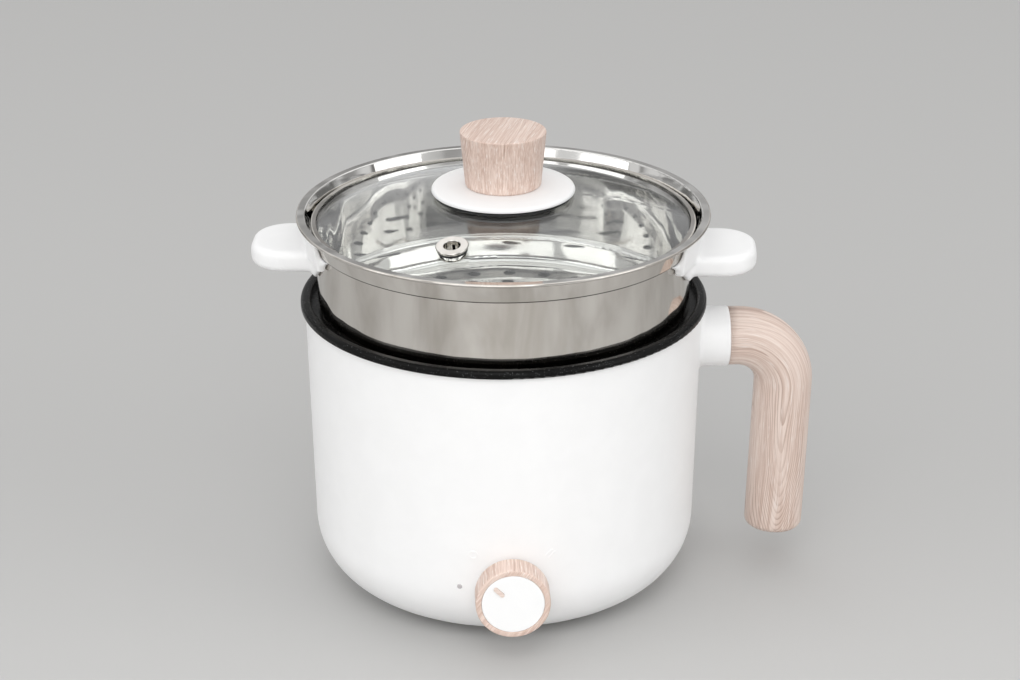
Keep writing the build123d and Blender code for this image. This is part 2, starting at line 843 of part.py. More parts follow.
# ---------------------------------------------------------------- power inlet
with BuildPart() as power_inlet:
    with BuildSketch(rear_plane(inlet_land_face)):
        Rectangle(inlet_width, inlet_tall)
    extrude(amount=-inlet_depth)
    with BuildSketch(rear_plane(inlet_land_face)):
        RectangleRounded(inlet_flange_width, inlet_flange_tall, inlet_corner)
    extrude(amount=inlet_flange_thickness)
    flange_rim = power_inlet.faces().sort_by(Axis.Y)[-1].edges()
    fillet(flange_rim, inlet_flange_thickness / 2)
    with BuildSketch(rear_plane(inlet_land_face + inlet_flange_thickness)):
        socket = Rectangle(inlet_socket_width, inlet_socket_tall)
        chamfer(socket.vertices().group_by(Axis.Y)[-1], inlet_corner)
    extrude(amount=-inlet_socket_depth, mode=Mode.SUBTRACT)
    with BuildSketch(rear_plane(inlet_land_face - inlet_depth)):
        with Locations((-blade_pitch, -blade_rise), (0, blade_rise), (blade_pitch, -blade_rise)):
            Rectangle(blade_width, blade_tall)
    extrude(amount=inlet_depth, mode=Mode.SUBTRACT)
keep(power_inlet, "power_inlet")

blade_root = inlet_land_face + inlet_flange_thickness - inlet_socket_depth
with BuildPart() as inlet_blades:
    with BuildSketch(rear_plane(inlet_land_face - inlet_depth - blade_tail)):
        with Locations((-blade_pitch, -blade_rise), (0, blade_rise), (blade_pitch, -blade_rise)):
            Rectangle(blade_width, blade_tall)
    extrude(amount=blade_root + blade_reach - (inlet_land_face - inlet_depth - blade_tail))
keep(inlet_blades, "inlet_blades")

# A sheet frame pushed over the socket's body behind the shell wall holds the inlet in.
shell_corner_centre = shell_bottom + shell_corner
clip_drop = shell_corner_centre - (inlet_height - inlet_tall / 2 - clip_rise)
corner_ring_radius = shell_top_radius - (shell_top - shell_bottom) * draft_slope - shell_corner
inner_radius_at_clip = corner_ring_radius + sqrt((shell_corner - shell_wall) ** 2 - clip_drop**2)
clip_face = sqrt(inner_radius_at_clip**2 - (inlet_width / 2 + clip_margin) ** 2) - fit_gap
with BuildPart() as inlet_clip:
    with BuildSketch(rear_plane(clip_face)):
        Rectangle(inlet_width + 2 * clip_margin, inlet_tall + 2 * clip_rise)
        Rectangle(inlet_width + 2 * thread_gap, inlet_tall + 2 * thread_gap, mode=Mode.SUBTRACT)
    extrude(amount=-clip_thickness)
keep(inlet_clip, "inlet_clip")

# -------------------------------------------------- heater under the pot floor
with BuildPart() as heating_plate:
    with BuildSketch(Plane.XY.offset(plate_underside)):
        Circle(plate_radius)
        Circle(plate_hole_radius, mode=Mode.SUBTRACT)
    extrude(amount=plate_thickness)
    with BuildSketch(Plane.XY.offset(strap_top)):
        with GridLocations(2 * strap_screw_offset, 0, 2, 1):
            Circle(strap_boss_radius)
    extrude(amount=plate_underside - strap_top)
    with BuildSketch(Plane.XZ):
        with Locations((element_ring_radius, plate_underside)):
            Circle(element_tube_radius + thread_gap)
    revolve(axis=Axis.Z, mode=Mode.SUBTRACT)
    with BuildSketch(Plane.XY.offset(strap_top)):
        with GridLocations(2 * strap_screw_offset, 0, 2, 1):
            Circle(strap_screw_radius + thread_gap)
    extrude(amount=strap_screw_length, mode=Mode.SUBTRACT)
    with BuildSketch(Plane.XY.offset(plate_underside)):
        with Locations((0, earth_screw_offset)):
            Circle(earth_screw_radius + thread_gap)
    extrude(amount=plate_thickness, mode=Mode.SUBTRACT)
keep(heating_plate, "heating_plate")

with BuildPart() as earth_screw:
    add(
        screw(
            Plane(origin=(0, earth_screw_offset, plate_underside), z_dir=(0, 0, 1)),
            earth_screw_radius,
            earth_screw_length,
            earth_screw_head_radius,
            earth_screw_head_height,
        )
    )
keep(earth_screw, "earth_screw")

with BuildPart() as heating_element:
    with BuildSketch(half_plane(element_start)):
        with Locations((element_ring_radius, plate_underside)):
            Circle(element_tube_radius)
    revolve(axis=Axis.Z, revolution_arc=element_arc)
    with leg_places():
        with Locations((0, 0, plate_underside)):
            Sphere(element_tube_radius)
            Cylinder(
                element_tube_radius, element_leg_length, align=(Align.CENTER, Align.CENTER, Align.MAX)
            )
keep(heating_element, "heating_element")

with BuildPart() as element_tabs:
    with BuildSketch(Plane.XY.offset(element_tip)):
        with leg_places():
            Rectangle(tab_thickness, tab_width)
    extrude(amount=-tab_length)
keep(element_tabs, "element_tabs")

with BuildPart() as thermostat:
    with BuildSketch(Plane.XY.offset(strap_top)):
        Circle(thermostat_radius)
    extrude(amount=thermostat_length)
    fillet(thermostat.edges().sort_by(Axis.Z)[-1], control_edge_rounding)
keep(thermostat, "thermostat")

with BuildPart() as thermostat_tabs:
    with BuildSketch(Plane.XY.offset(strap_top + thermostat_tab_rise)):
        with GridLocations(0, 2 * thermostat_radius + thermostat_tab_length, 1, 2):
            Rectangle(tab_width, thermostat_tab_length)
    extrude(amount=tab_thickness)
keep(thermostat_tabs, "thermostat_tabs")

with BuildPart() as thermostat_strap:
    with BuildSketch(Plane.XY.offset(strap_bottom)):
        SlotOverall(strap_length, strap_width)
        with GridLocations(2 * strap_screw_offset, 0, 2, 1):
            Circle(strap_screw_radius + thread_gap, mode=Mode.SUBTRACT)
    extrude(amount=strap_thickness)
keep(thermostat_strap, "thermostat_strap")

with BuildPart() as thermostat_screws:
    for side in (-1, 1):
        add(
            screw(
                Plane(origin=(side * strap_screw_offset, 0, strap_bottom), z_dir=(0, 0, 1)),
                strap_screw_radius,
                strap_screw_length,
                strap_screw_head_radius,
                strap_screw_head_height,
            )
        )
keep(thermostat_screws, "thermostat_screws")

fuse_axis_height = plate_underside - fuse_radius
with BuildPart() as thermal_fuse:
    with BuildSketch(Plane.YZ.offset(-fuse_length / 2)):
        with Locations((-fuse_offset, fuse_axis_height)):
            Circle(fuse_radius)
    extrude(amount=fuse_length)
    fillet(thermal_fuse.edges().filter_by(GeomType.CIRCLE), fuse_radius / 3)
keep(thermal_fuse, "thermal_fuse")

with BuildPart() as fuse_clip:
    with BuildSketch(Plane.YZ.offset(-fuse_clip_width / 2)):
        with Locations((-fuse_offset, fuse_axis_height)):
            Circle(fuse_radius + thread_gap + fuse_clip_thickness)
        with Locations((-fuse_offset, plate_underside - fuse_clip_thickness / 2)):
            Rectangle(2 * fuse_clip_tab, fuse_clip_thickness)
        with Locations((-fuse_offset, fuse_axis_height)):
            Circle(fuse_radius + thread_gap, mode=Mode.SUBTRACT)
        with Locations((-fuse_offset, plate_underside + fuse_radius)):
            Rectangle(2 * fuse_clip_tab, 2 * fuse_radius, mode=Mode.SUBTRACT)
    extrude(amount=fuse_clip_width)
keep(fuse_clip, "fuse_clip")

# ----------------------------------------------------- standoffs, heat shield
standoff_hex_radius = standoff_across_flats / 2 / cos(radians(30))

with BuildPart() as upper_standoffs:
    with BuildSketch(Plane.XY.offset(shield_top)):
        with standoff_places():
            RegularPolygon(standoff_hex_radius, 6)
    extrude(amount=plate_underside - shield_top)
    with BuildSketch(Plane.XY.offset(shield_top)):
        with standoff_places():
            Circle(standoff_thread_radius + thread_gap)
    extrude(amount=standoff_stud_length + thread_gap, mode=Mode.SUBTRACT)
keep(upper_standoffs, "upper_standoffs")

with BuildPart() as lower_standoffs:
    with BuildSketch(Plane.XY.offset(cover_boss_top)):
        with standoff_places():
            RegularPolygon(standoff_hex_radius, 6)
    extrude(amount=shield_bottom - cover_boss_top)
    with BuildSketch(Plane.XY.offset(shield_bottom)):
        with standoff_places():
            Circle(standoff_thread_radius)
    extrude(amount=shield_thickness + standoff_stud_length)
    with BuildSketch(Plane.XY.offset(cover_boss_top)):
        with standoff_places():
            Circle(standoff_thread_radius + thread_gap)
    extrude(amount=cover_screw_length, mode=Mode.SUBTRACT)
keep(lower_standoffs, "lower_standoffs")

with BuildPart() as heat_shield:
    with BuildSketch(Plane.XY.offset(shield_bottom)):
        Circle(shield_radius)
        with standoff_places():
            Circle(standoff_thread_radius + thread_gap, mode=Mode.SUBTRACT)
        with leg_places():
            Circle(shield_hole_radius, mode=Mode.SUBTRACT)
    extrude(amount=shield_thickness)
keep(heat_shield, "heat_shield")

# -------------------------------------------------------- base cover and foot
with BuildPart() as base_cover:
    with BuildSketch(Plane.XY.offset(shell_bottom)):
        Circle(shell_opening_radius - cover_fit_gap)
    extrude(amount=cover_thickness)
    with BuildSketch(Plane.XY.offset(shell_bottom)):
        Circle(cover_flange_radius)
    extrude(amount=cover_flange_thickness)
    with BuildSketch(Plane.XY.offset(shell_bottom)):
        with standoff_places():
            Circle(cover_boss_radius)
    extrude(amount=cover_boss_top - shell_bottom)
    with BuildSketch(Plane.XY.offset(shell_bottom)):
        with standoff_places():
            Circle(cover_screw_head_radius + cover_fit_gap)
    extrude(amount=cover_screw_recess, mode=Mode.SUBTRACT)
    with BuildSketch(Plane.XY.offset(shell_bottom)):
        with standoff_places():
            Circle(standoff_thread_radius + thread_gap)
    extrude(amount=cover_boss_top - shell_bottom, mode=Mode.SUBTRACT)
    with BuildSketch(Plane.XY.offset(shell_bottom)):
        with PolarLocations(vent_slot_radius, vent_slot_count):
            SlotOverall(vent_slot_length, vent_slot_width)
    extrude(amount=cover_thickness, mode=Mode.SUBTRACT)
keep(base_cover, "base_cover")

with BuildPart() as cover_screws:
    for place in standoff_places():
        add(
            screw(
                Plane(
                    origin=(place.position.X, place.position.Y, shell_bottom + cover_screw_recess),
                    z_dir=(0, 0, 1),
                ),
                standoff_thread_radius,
                cover_screw_length,
                cover_screw_head_radius,
                cover_screw_head_height,
            )
        )
keep(cover_screws, "cover_screws")

with BuildPart() as foot_ring:
    add(ring_section(foot_inner_radius, foot_outer_radius, 0, shell_bottom + foot_groove_depth))
    revolve(axis=Axis.Z)
    ground_edges = foot_ring.edges().group_by(Axis.Z)[0]
    fillet(ground_edges, foot_edge_rounding)
keep(foot_ring, "foot_ring")

# ------------------------------------------------------------- steamer basket
with BuildPart() as steamer_basket:
    add(
        sheet_section(
            [
                (0, basket_bottom),
                (basket_lower_radius, basket_bottom),
                (basket_lower_radius, basket_seat),
                (basket_radius, basket_seat),
                (basket_radius, basket_step),
                (neck_base_radius, basket_step),
                (neck_top_radius, neck_top),
            ],
            steamer_sheet,
            [basket_corner, basket_step_rounding, basket_step_rounding, steamer_sheet,
             steamer_sheet],
        )
    )
    revolve(axis=Axis.Z)
    with BuildSketch(Plane.XZ):
        with Locations(((neck_top_radius - steamer_sheet + rim_radius) / 2, neck_top)):
            RectangleRounded(rim_radius - neck_top_radius + steamer_sheet, rim_height, rim_rounding)
    revolve(axis=Axis.Z)
    with BuildSketch(Plane.XY.offset(basket_bottom + steamer_sheet)):
        Circle(floor_raise_radius)
    extrude(amount=floor_raise)
    with BuildSketch(Plane.XY.offset(basket_bottom)):
        Circle(floor_raise_radius - steamer_sheet)
    extrude(amount=floor_raise, mode=Mode.SUBTRACT)
    with BuildSketch(steamer_frame.offset(basket_bottom)):
        for ring in range(steam_ring_count):
            ring_radius = steam_ring_radius + ring * steam_ring_pitch
            with PolarLocations(ring_radius, (ring + 1) * steam_hole_count, start_angle=90):
                Circle(steam_hole_radius)
    extrude(amount=floor_raise + 2 * steamer_sheet, mode=Mode.SUBTRACT)
    for side in (0, 180):
        for offset_angle in (-rivet_angle, rivet_angle):
            with BuildSketch(radial_plane(steamer_turn + side + offset_angle, 0, rivet_height)):
                Circle(rivet_radius + thread_gap)
            extrude(amount=neck_base_radius, mode=Mode.SUBTRACT)
keep(steamer_basket, "steamer_basket")

# -------------------------------------------------------------- steamer ears
# Sheet brackets are riveted to the basket's wall; each ear slides over its tongue.
with BuildPart() as ear_brackets:
    for side in (0, 180):
        with BuildSketch(half_plane(steamer_turn + side - bracket_angle)):
            with Locations((basket_radius + bracket_thickness / 2, (bracket_bottom + bracket_top) / 2)):
                Rectangle(bracket_thickness, bracket_top - bracket_bottom)
        revolve(axis=Axis.Z, revolution_arc=2 * bracket_angle)
        with BuildSketch(radial_plane(steamer_turn + side, bracket_radius - bracket_thickness / 2, 0)):
            with Locations((0, tongue_bottom + tongue_thickness / 2)):
                Rectangle(2 * tongue_half_width, tongue_thickness)
        extrude(amount=tongue_reach - bracket_radius + bracket_thickness / 2)
        with BuildSketch(steamer_frame.offset(tongue_bottom)):
            with PolarLocations(ear_screw_offset, 1, start_angle=side):
                Circle(ear_screw_radius + thread_gap)
        extrude(amount=tongue_thickness, mode=Mode.SUBTRACT)
        for offset_angle in (-rivet_angle, rivet_angle):
            with BuildSketch(radial_plane(steamer_turn + side + offset_angle, 0, rivet_height)):
                Circle(rivet_radius + thread_gap)
            extrude(amount=bracket_radius, mode=Mode.SUBTRACT)
keep(ear_brackets, "ear_brackets")

rivet_inner_face = basket_inner_radius - thread_gap
with BuildPart() as ear_rivets:
    for side in (0, 180):
        for offset_angle in (-rivet_angle, rivet_angle):
            rivet_direction = steamer_turn + side + offset_angle
            with BuildSketch(radial_plane(rivet_direction, rivet_inner_face, rivet_height)):
                Circle(rivet_radius)
            extrude(amount=bracket_radius - rivet_inner_face)
            with BuildSketch(radial_plane(rivet_direction, rivet_inner_face, rivet_height)):
                Circle(rivet_head_radius)
            extrude(amount=-rivet_head_height)
            with BuildSketch(radial_plane(rivet_direction, bracket_radius, rivet_height)):
                Circle(rivet_head_radius)
            extrude(amount=rivet_head_height)
    head_rims = ear_rivets.edges().filter_by(
        lambda edge: edge.geom_type == GeomType.CIRCLE and edge.radius > rivet_radius + thread_gap
    )
    fillet(head_rims, rivet_head_height * head_rounding_share)
keep(ear_rivets, "ear_rivets")

screw_seat_height = ear_bottom + ear_screw_recess
with BuildPart() as ear_screws:
    for side in (0, 180):
        direction = radians(steamer_turn + side)
        add(
            screw(
                Plane(
                    origin=(
                        ear_screw_offset * cos(direction),
                        ear_screw_offset * sin(direction),
                        screw_seat_height,
                    ),
                    z_dir=(0, 0, 1),
                ),
                ear_screw_radius,
                ear_screw_length,
                ear_screw_head_radius,
                ear_screw_head_height,
            )
        )
keep(ear_screws, "ear_screws")

# Wings that hug the wall below the basket's step, wide at the top, ear-wide below.
with BuildPart() as ear_wings:
    with BuildSketch(radial_plane(steamer_turn, 0, 0)):
        with BuildLine():
            Polyline(
                (-ear_half_width, saddle_bottom),
                (ear_half_width, saddle_bottom),
                (wing_half_width, basket_step),
                (-wing_half_width, basket_step),
                close=True,
            )
        make_face()
    extrude(amount=cuff_top_radius)
    add(
        ring_section(
            basket_radius - steamer_sheet, basket_radius + saddle_thickness, saddle_bottom, basket_step
        )
    )
    revolve(axis=Axis.Z, mode=Mode.INTERSECT)
    saddle_edge = ear_wings.faces().sort_by(Axis.Z)[0].edges().filter_by(GeomType.CIRCLE)
    fillet(saddle_edge.sort_by(SortBy.RADIUS)[-1], saddle_rounding)

with BuildPart() as ear_right:
    with BuildSketch(steamer_frame.offset(ear_bottom)):
        with Locations((ear_reach / 2, 0)):
            RectangleRounded(ear_reach, 2 * ear_half_width, ear_corner)
    extrude(amount=ear_thickness)
    upper_and_lower_rims = ear_right.edges().group_by(Axis.Z)
    fillet(upper_and_lower_rims[0] + upper_and_lower_rims[-1], ear_rounding)
    add(ear_wings.part)
    with BuildSketch(half_plane(steamer_turn - cuff_angle)):
        with BuildLine():
            Polyline(
                (basket_radius, basket_step),
                (basket_radius, ear_top - ear_rounding),
                (cuff_foot_radius, ear_top - ear_rounding),
                (cuff_top_radius, cuff_top),
                (basket_radius, cuff_top),
                close=True,
            )
        make_face()
    revolve(axis=Axis.Z, revolution_arc=2 * cuff_angle)
    with BuildSketch(Plane.XZ):
        with BuildLine():
            Polyline(
                (0, saddle_bottom - ear_thickness),
                (basket_radius + fit_gap, saddle_bottom - ear_thickness),
                (basket_radius + fit_gap, basket_step - fit_gap - steamer_sheet),
                (basket_radius + fit_gap + steamer_sheet, basket_step - fit_gap),
                (neck_base_radius + fit_gap, basket_step - fit_gap),
                (neck_top_radius + fit_gap, neck_top),
                (0, neck_top),
                close=True,
            )
        make_face()
    revolve(axis=Axis.Z, mode=Mode.SUBTRACT)
    with BuildSketch(half_plane(steamer_turn - pocket_angle)):
        with BuildLine():
            Polyline(
                (basket_radius, bracket_bottom - fit_gap),
                (bracket_radius + fit_gap, bracket_bottom - fit_gap),
                (bracket_radius + fit_gap, bracket_top + fit_gap),
                (basket_radius, bracket_top + fit_gap),
                close=True,
            )
        make_face()
    revolve(axis=Axis.Z, revolution_arc=2 * pocket_angle, mode=Mode.SUBTRACT)
    for offset_angle in (-rivet_angle, rivet_angle):
        with BuildSketch(radial_plane(steamer_turn + offset_angle, 0, rivet_height)):
            Circle(rivet_head_radius + fit_gap)
        extrude(amount=bracket_radius + rivet_head_height + fit_gap, mode=Mode.SUBTRACT)
    with BuildSketch(radial_plane(steamer_turn, 0, 0)):
        with Locations((0, tongue_bottom + tongue_thickness / 2)):
            Rectangle(
                2 * (tongue_half_width + fit_gap), tongue_thickness + 2 * fit_gap
            )
    extrude(amount=tongue_reach + fit_gap, mode=Mode.SUBTRACT)
    with BuildSketch(steamer_frame.offset(ear_bottom)):
        with Locations((ear_screw_offset, 0)):
            Circle(ear_screw_head_radius + fit_gap)
    extrude(amount=ear_screw_recess, mode=Mode.SUBTRACT)
    with BuildSketch(steamer_frame.offset(ear_bottom)):
        with Locations((ear_screw_offset, 0)):
            Circle(ear_screw_radius + thread_gap)
    extrude(amount=ear_screw_recess + ear_screw_length + fit_gap, mode=Mode.SUBTRACT)
keep(ear_right, "ear_right")

with BuildPart() as ear_left:
    mirror(ear_right.part, about=Plane(origin=(0, 0, 0), z_dir=steamer_frame.x_dir))
keep(ear_left, "ear_left")

# ------------------------------------------------------------------ glass lid
with BuildPart() as lid_band:
    with BuildSketch(Plane.XZ) as band_section:
        with BuildLine():
            Polyline(
                (band_foot_inner_radius, lid_seat),
                (band_radius, lid_seat),
                (band_radius, band_top - bead_height),
                (bead_radius, band_top - bead_height),
                (bead_radius, band_top),
                (band_lip_inner_radius, band_top),
                (band_lip_inner_radius, band_top - band_lip_thickness),
                (band_radius - band_wall, band_top - band_lip_thickness),
                (band_radius - band_wall, lid_seat + band_wall),
                (band_foot_inner_radius, lid_seat + band_wall),
                close=True,
            )
        make_face()
        fillet(band_section.vertices().group_by(Axis.X)[-1], bead_rounding)
    revolve(axis=Axis.Z)
keep(lid_band, "lid_band")

with BuildPart() as lid_seal:
    add(
        ring_section(seal_inner_radius, glass_radius, lid_seat + band_wall, glass_edge_bottom)
    )
    revolve(axis=Axis.Z)
keep(lid_seal, "lid_seal")

vent_direction = radians(vent_angle)
vent_tilt = vent_circle_radius / glass_sphere
vent_plane = Plane(
    origin=(
        vent_circle_radius * cos(vent_direction),
        vent_circle_radius * sin(vent_direction),
        dome_height(vent_circle_radius, glass_apex),
    ),
    z_dir=(
        vent_tilt * cos(vent_direction),
        vent_tilt * sin(vent_direction),
        sqrt(1 - vent_tilt**2),
    ),
)
with BuildPart() as lid_glass:
    add(dome_section(glass_radius, glass_apex, glass_thickness))
    revolve(axis=Axis.Z)
    with BuildSketch(Plane.XY.offset(lid_seat)):
        Circle(lid_screw_hole_radius)
    extrude(amount=glass_apex - lid_seat, mode=Mode.SUBTRACT)
    with BuildSketch(vent_plane):
        Circle(vent_hole_radius)
    extrude(amount=2 * glass_thickness, both=True, mode=Mode.SUBTRACT)
keep(lid_glass, "lid_glass")

with BuildPart() as vent_gasket:
    with BuildSketch(vent_plane):
        Circle(vent_gasket_radius)
        Circle(vent_barrel_radius + thread_gap, mode=Mode.SUBTRACT)
    extrude(amount=vent_gasket_thickness)
keep(vent_gasket, "vent_gasket")

with BuildPart() as vent_eyelet:
    with BuildSketch(vent_plane.offset(vent_gasket_thickness)):
        Circle(vent_flange_radius)
    extrude(amount=vent_flange_height)
    fillet(vent_eyelet.edges(), vent_flange_height * head_rounding_share)
    with BuildSketch(vent_plane.offset(vent_gasket_thickness)):
        Circle(vent_barrel_radius)
    extrude(amount=-vent_gasket_thickness - glass_thickness - vent_flare_height)
    with BuildSketch(vent_plane.offset(-glass_thickness)):
        Circle(vent_flare_radius)
    extrude(amount=-vent_flare_height)
    with BuildSketch(vent_plane.offset(vent_gasket_thickness + vent_flange_height)):
        Circle(vent_bore_radius)
    extrude(amount=-2 * glass_thickness, mode=Mode.SUBTRACT)
    bore_mouth = vent_eyelet.edges().filter_by(
        lambda edge: edge.geom_type == GeomType.CIRCLE
        and abs(edge.radius - vent_bore_radius) < thread_gap
    )
    fillet(bore_mouth.sort_by(Axis.Z)[-1], vent_flange_height * head_rounding_share)
keep(vent_eyelet, "vent_eyelet")

# ------------------------------------------------------------------- lid knob
disc_seat_apex = glass_apex + disc_gasket_thickness
with BuildPart() as disc_gasket:
    add(dome_section(disc_gasket_radius, disc_seat_apex, disc_gasket_thickness))
    revolve(axis=Axis.Z)
    with BuildSketch(Plane.XY.offset(lid_seat)):
        Circle(lid_screw_hole_radius)
    extrude(amount=disc_top - lid_seat, mode=Mode.SUBTRACT)
keep(disc_gasket, "disc_gasket")

with BuildPart() as knob_disc:
    with BuildSketch(Plane.XY.offset(dome_height(disc_radius, disc_seat_apex))):
        Circle(disc_radius)
    extrude(amount=disc_top - dome_height(disc_radius, disc_seat_apex))
    fillet(knob_disc.edges().sort_by(Axis.Z)[-1], disc_edge_rounding)
    add(dome_section(disc_radius, disc_seat_apex, disc_top - lid_seat))
    revolve(axis=Axis.Z, mode=Mode.SUBTRACT)
    with BuildSketch(Plane.XY.offset(lid_seat)):
        Circle(lid_screw_hole_radius)
    extrude(amount=disc_top - lid_seat, mode=Mode.SUBTRACT)
keep(knob_disc, "knob_disc")

with BuildPart() as lid_knob:
    with BuildSketch(Plane.XZ):
        with BuildLine():
            Polyline(
                (0, disc_top),
                (lid_knob_foot_radius, disc_top),
                (lid_knob_top_radius, lid_knob_top),
                (0, lid_knob_top),
                close=True,
            )
        make_face()
    revolve(axis=Axis.Z)
    knob_rims = lid_knob.edges().filter_by(GeomType.CIRCLE).sort_by(Axis.Z)
    chamfer(knob_rims[0], lid_knob_foot_chamfer)
    fillet(knob_rims[-1], lid_knob_top_rounding)
    with BuildSketch(Plane.XY.offset(disc_top)):
        Circle(insert_radius + thread_gap)
    extrude(amount=insert_bottom + insert_length - disc_top, mode=Mode.SUBTRACT)
keep(lid_knob, "lid_knob")

with BuildPart() as knob_insert:
    with BuildSketch(Plane.XY.offset(insert_bottom)):
        Circle(insert_radius)
        Circle(lid_screw_radius + thread_gap, mode=Mode.SUBTRACT)
    extrude(amount=insert_length)
keep(knob_insert, "knob_insert")

under_gasket_apex = glass_apex - glass_thickness
with BuildPart() as under_gasket:
    add(dome_section(under_gasket_radius, under_gasket_apex, under_gasket_thickness))
    revolve(axis=Axis.Z)
    with BuildSketch(Plane.XY.offset(lid_seat)):
        Circle(lid_screw_hole_radius)
    extrude(amount=glass_apex - lid_seat, mode=Mode.SUBTRACT)
keep(under_gasket, "under_gasket")

washer_bottom = (
    dome_height(washer_radius, under_gasket_apex - under_gasket_thickness) - washer_thickness
)
with BuildPart() as knob_washer:
    with BuildSketch(Plane.XY.offset(washer_bottom)):
        Circle(washer_radius)
        Circle(lid_screw_radius + thread_gap, mode=Mode.SUBTRACT)
    extrude(amount=washer_thickness)
keep(knob_washer, "knob_washer")

with BuildPart() as knob_screw:
    add(
        screw(
            Plane.XY.offset(washer_bottom),
            lid_screw_radius,
            insert_bottom + lid_screw_engagement - washer_bottom,
            lid_screw_head_radius,
            lid_screw_head_height,
        )
    )
keep(knob_screw, "knob_screw")

# ------------------------------------------------------------- internal wires
tab_side = (switch_tab_pitch + tab_width) / 2
tab_middle = switch_back - tab_length / 2
blade_side = blade_pitch + blade_width / 2
blade_middle = inlet_tail + blade_tail / 2
blade_height = inlet_height - blade_rise
sensor_tab_tip = thermostat_radius + thermostat_tab_length
sensor_tab_height = strap_top + thermostat_tab_rise + tab_thickness / 2
leg_angle = radians(180 - element_start)
leg_tab_x = element_ring_radius * cos(leg_angle) + tab_width / 2 * sin(leg_angle)
leg_tab_y = element_ring_radius * sin(leg_angle) - tab_width / 2 * cos(leg_angle)
leg_tab_height = element_tip - tab_length / 2

with BuildPart() as live_wire:
    live_route = [
        (blade_side, blade_middle, blade_height),
        (blade_side + wire_lead_in, blade_middle, blade_height),
        (34, 68, 34),
        (66, 38, 28),
        (76, 0, 28),
        (62, -44, 30),
        (34, -65, 32),
        (tab_side + wire_lead_in, -tab_middle, knob_height),
        (tab_side, -tab_middle, knob_height),
    ]
    add(wire(live_route, wire_radius))
keep(live_wire, "live_wire")

with BuildPart() as switched_wire:
    switched_route = [
        (-tab_side, -tab_middle, knob_height),
        (-tab_side - wire_lead_in, -tab_middle, knob_height),
        (-30, -63, 38),
        (-36, -52, 42),
        (-26, -36, 44),
        (-fuse_length / 2 - wire_lead_in, -fuse_offset, fuse_axis_height),
        (-fuse_length / 2, -fuse_offset, fuse_axis_height),
    ]
    add(wire(switched_route, wire_radius))
keep(switched_wire, "switched_wire")

with BuildPart() as fuse_wire:
    fuse_route = [
        (fuse_length / 2, -fuse_offset, fuse_axis_height),
        (fuse_length / 2 + wire_lead_in, -fuse_offset, fuse_axis_height),
        (26, -36, 44),
        (37, -52, 42),
        (60, -34, 36),
        (69, 2, 31),
        (64, 26, 30),
        (43, 36.5, leg_tab_height),
        (leg_tab_x, leg_tab_y, leg_tab_height),
    ]
    add(wire(fuse_route, wire_radius))
keep(fuse_wire, "fuse_wire")

with BuildPart() as return_wire:
    return_route = [
        (-leg_tab_x, leg_tab_y, leg_tab_height),
        (-43, 36.5, leg_tab_height),
        (-62, 28, 30),
        (-68, 4, 34),
        (-60, -14, 40),
        (-34, -18, 43),
        (-14, -23, 44.5),
        (0, -sensor_tab_tip - wire_lead_in, sensor_tab_height),
        (0, -sensor_tab_tip, sensor_tab_height),
    ]
    add(wire(return_route, wire_radius))
keep(return_wire, "return_wire")

with BuildPart() as neutral_wire:
    neutral_route = [
        (0, sensor_tab_tip, sensor_tab_height),
        (0, sensor_tab_tip + wire_lead_in, sensor_tab_height),
        (-10, 42, 43),
        (-20, 62, 41),
        (-blade_side - wire_lead_in, blade_middle, blade_height),
        (-blade_side, blade_middle, blade_height),
    ]
    add(wire(neutral_route, wire_radius))
keep(neutral_wire, "neutral_wire")

earth_end = earth_screw_offset + earth_screw_head_radius + thread_gap
earth_height = plate_underside - wire_radius - fit_gap
with BuildPart() as earth_wire:
    earth_route = [
        (0, inlet_tail, inlet_height + blade_rise),
        (0, 66.5, inlet_height + blade_rise),
        (0, 61.5, earth_height),
        (0, earth_end, earth_height),
    ]
    add(wire(earth_route, wire_radius))
keep(earth_wire, "earth_wire")

lamp_tail = lens_seat - lens_flange_thickness - lamp_body_length
lead_start = lamp_plane.z_dir * lamp_tail
lead_corner = lamp_plane.z_dir * (lamp_tail - lead_run)
with BuildPart() as lamp_leads:
    for rise in (-lead_spacing / 2, lead_spacing / 2):
        lead_route = [
            (lead_start.X, lead_start.Y, lamp_height + rise),
            (lead_corner.X, lead_corner.Y, lamp_height + rise),
            (-switch_width / 2, lead_corner.Y, lamp_height + rise),
        ]
        add(wire(lead_route, lead_radius))
keep(lamp_leads, "lamp_leads")
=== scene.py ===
"""Looks of an electric hot pot: wood-look grip and knobs, steel steamer, glass lid, white shell."""

import json
import logging
from dataclasses import dataclass, replace
from enum import Enum
from functools import cache
from math import atan2, cos, pi, radians, sin, tan, tau
from typing import Callable, Iterable, Sequence

import bpy
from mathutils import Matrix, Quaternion, Vector


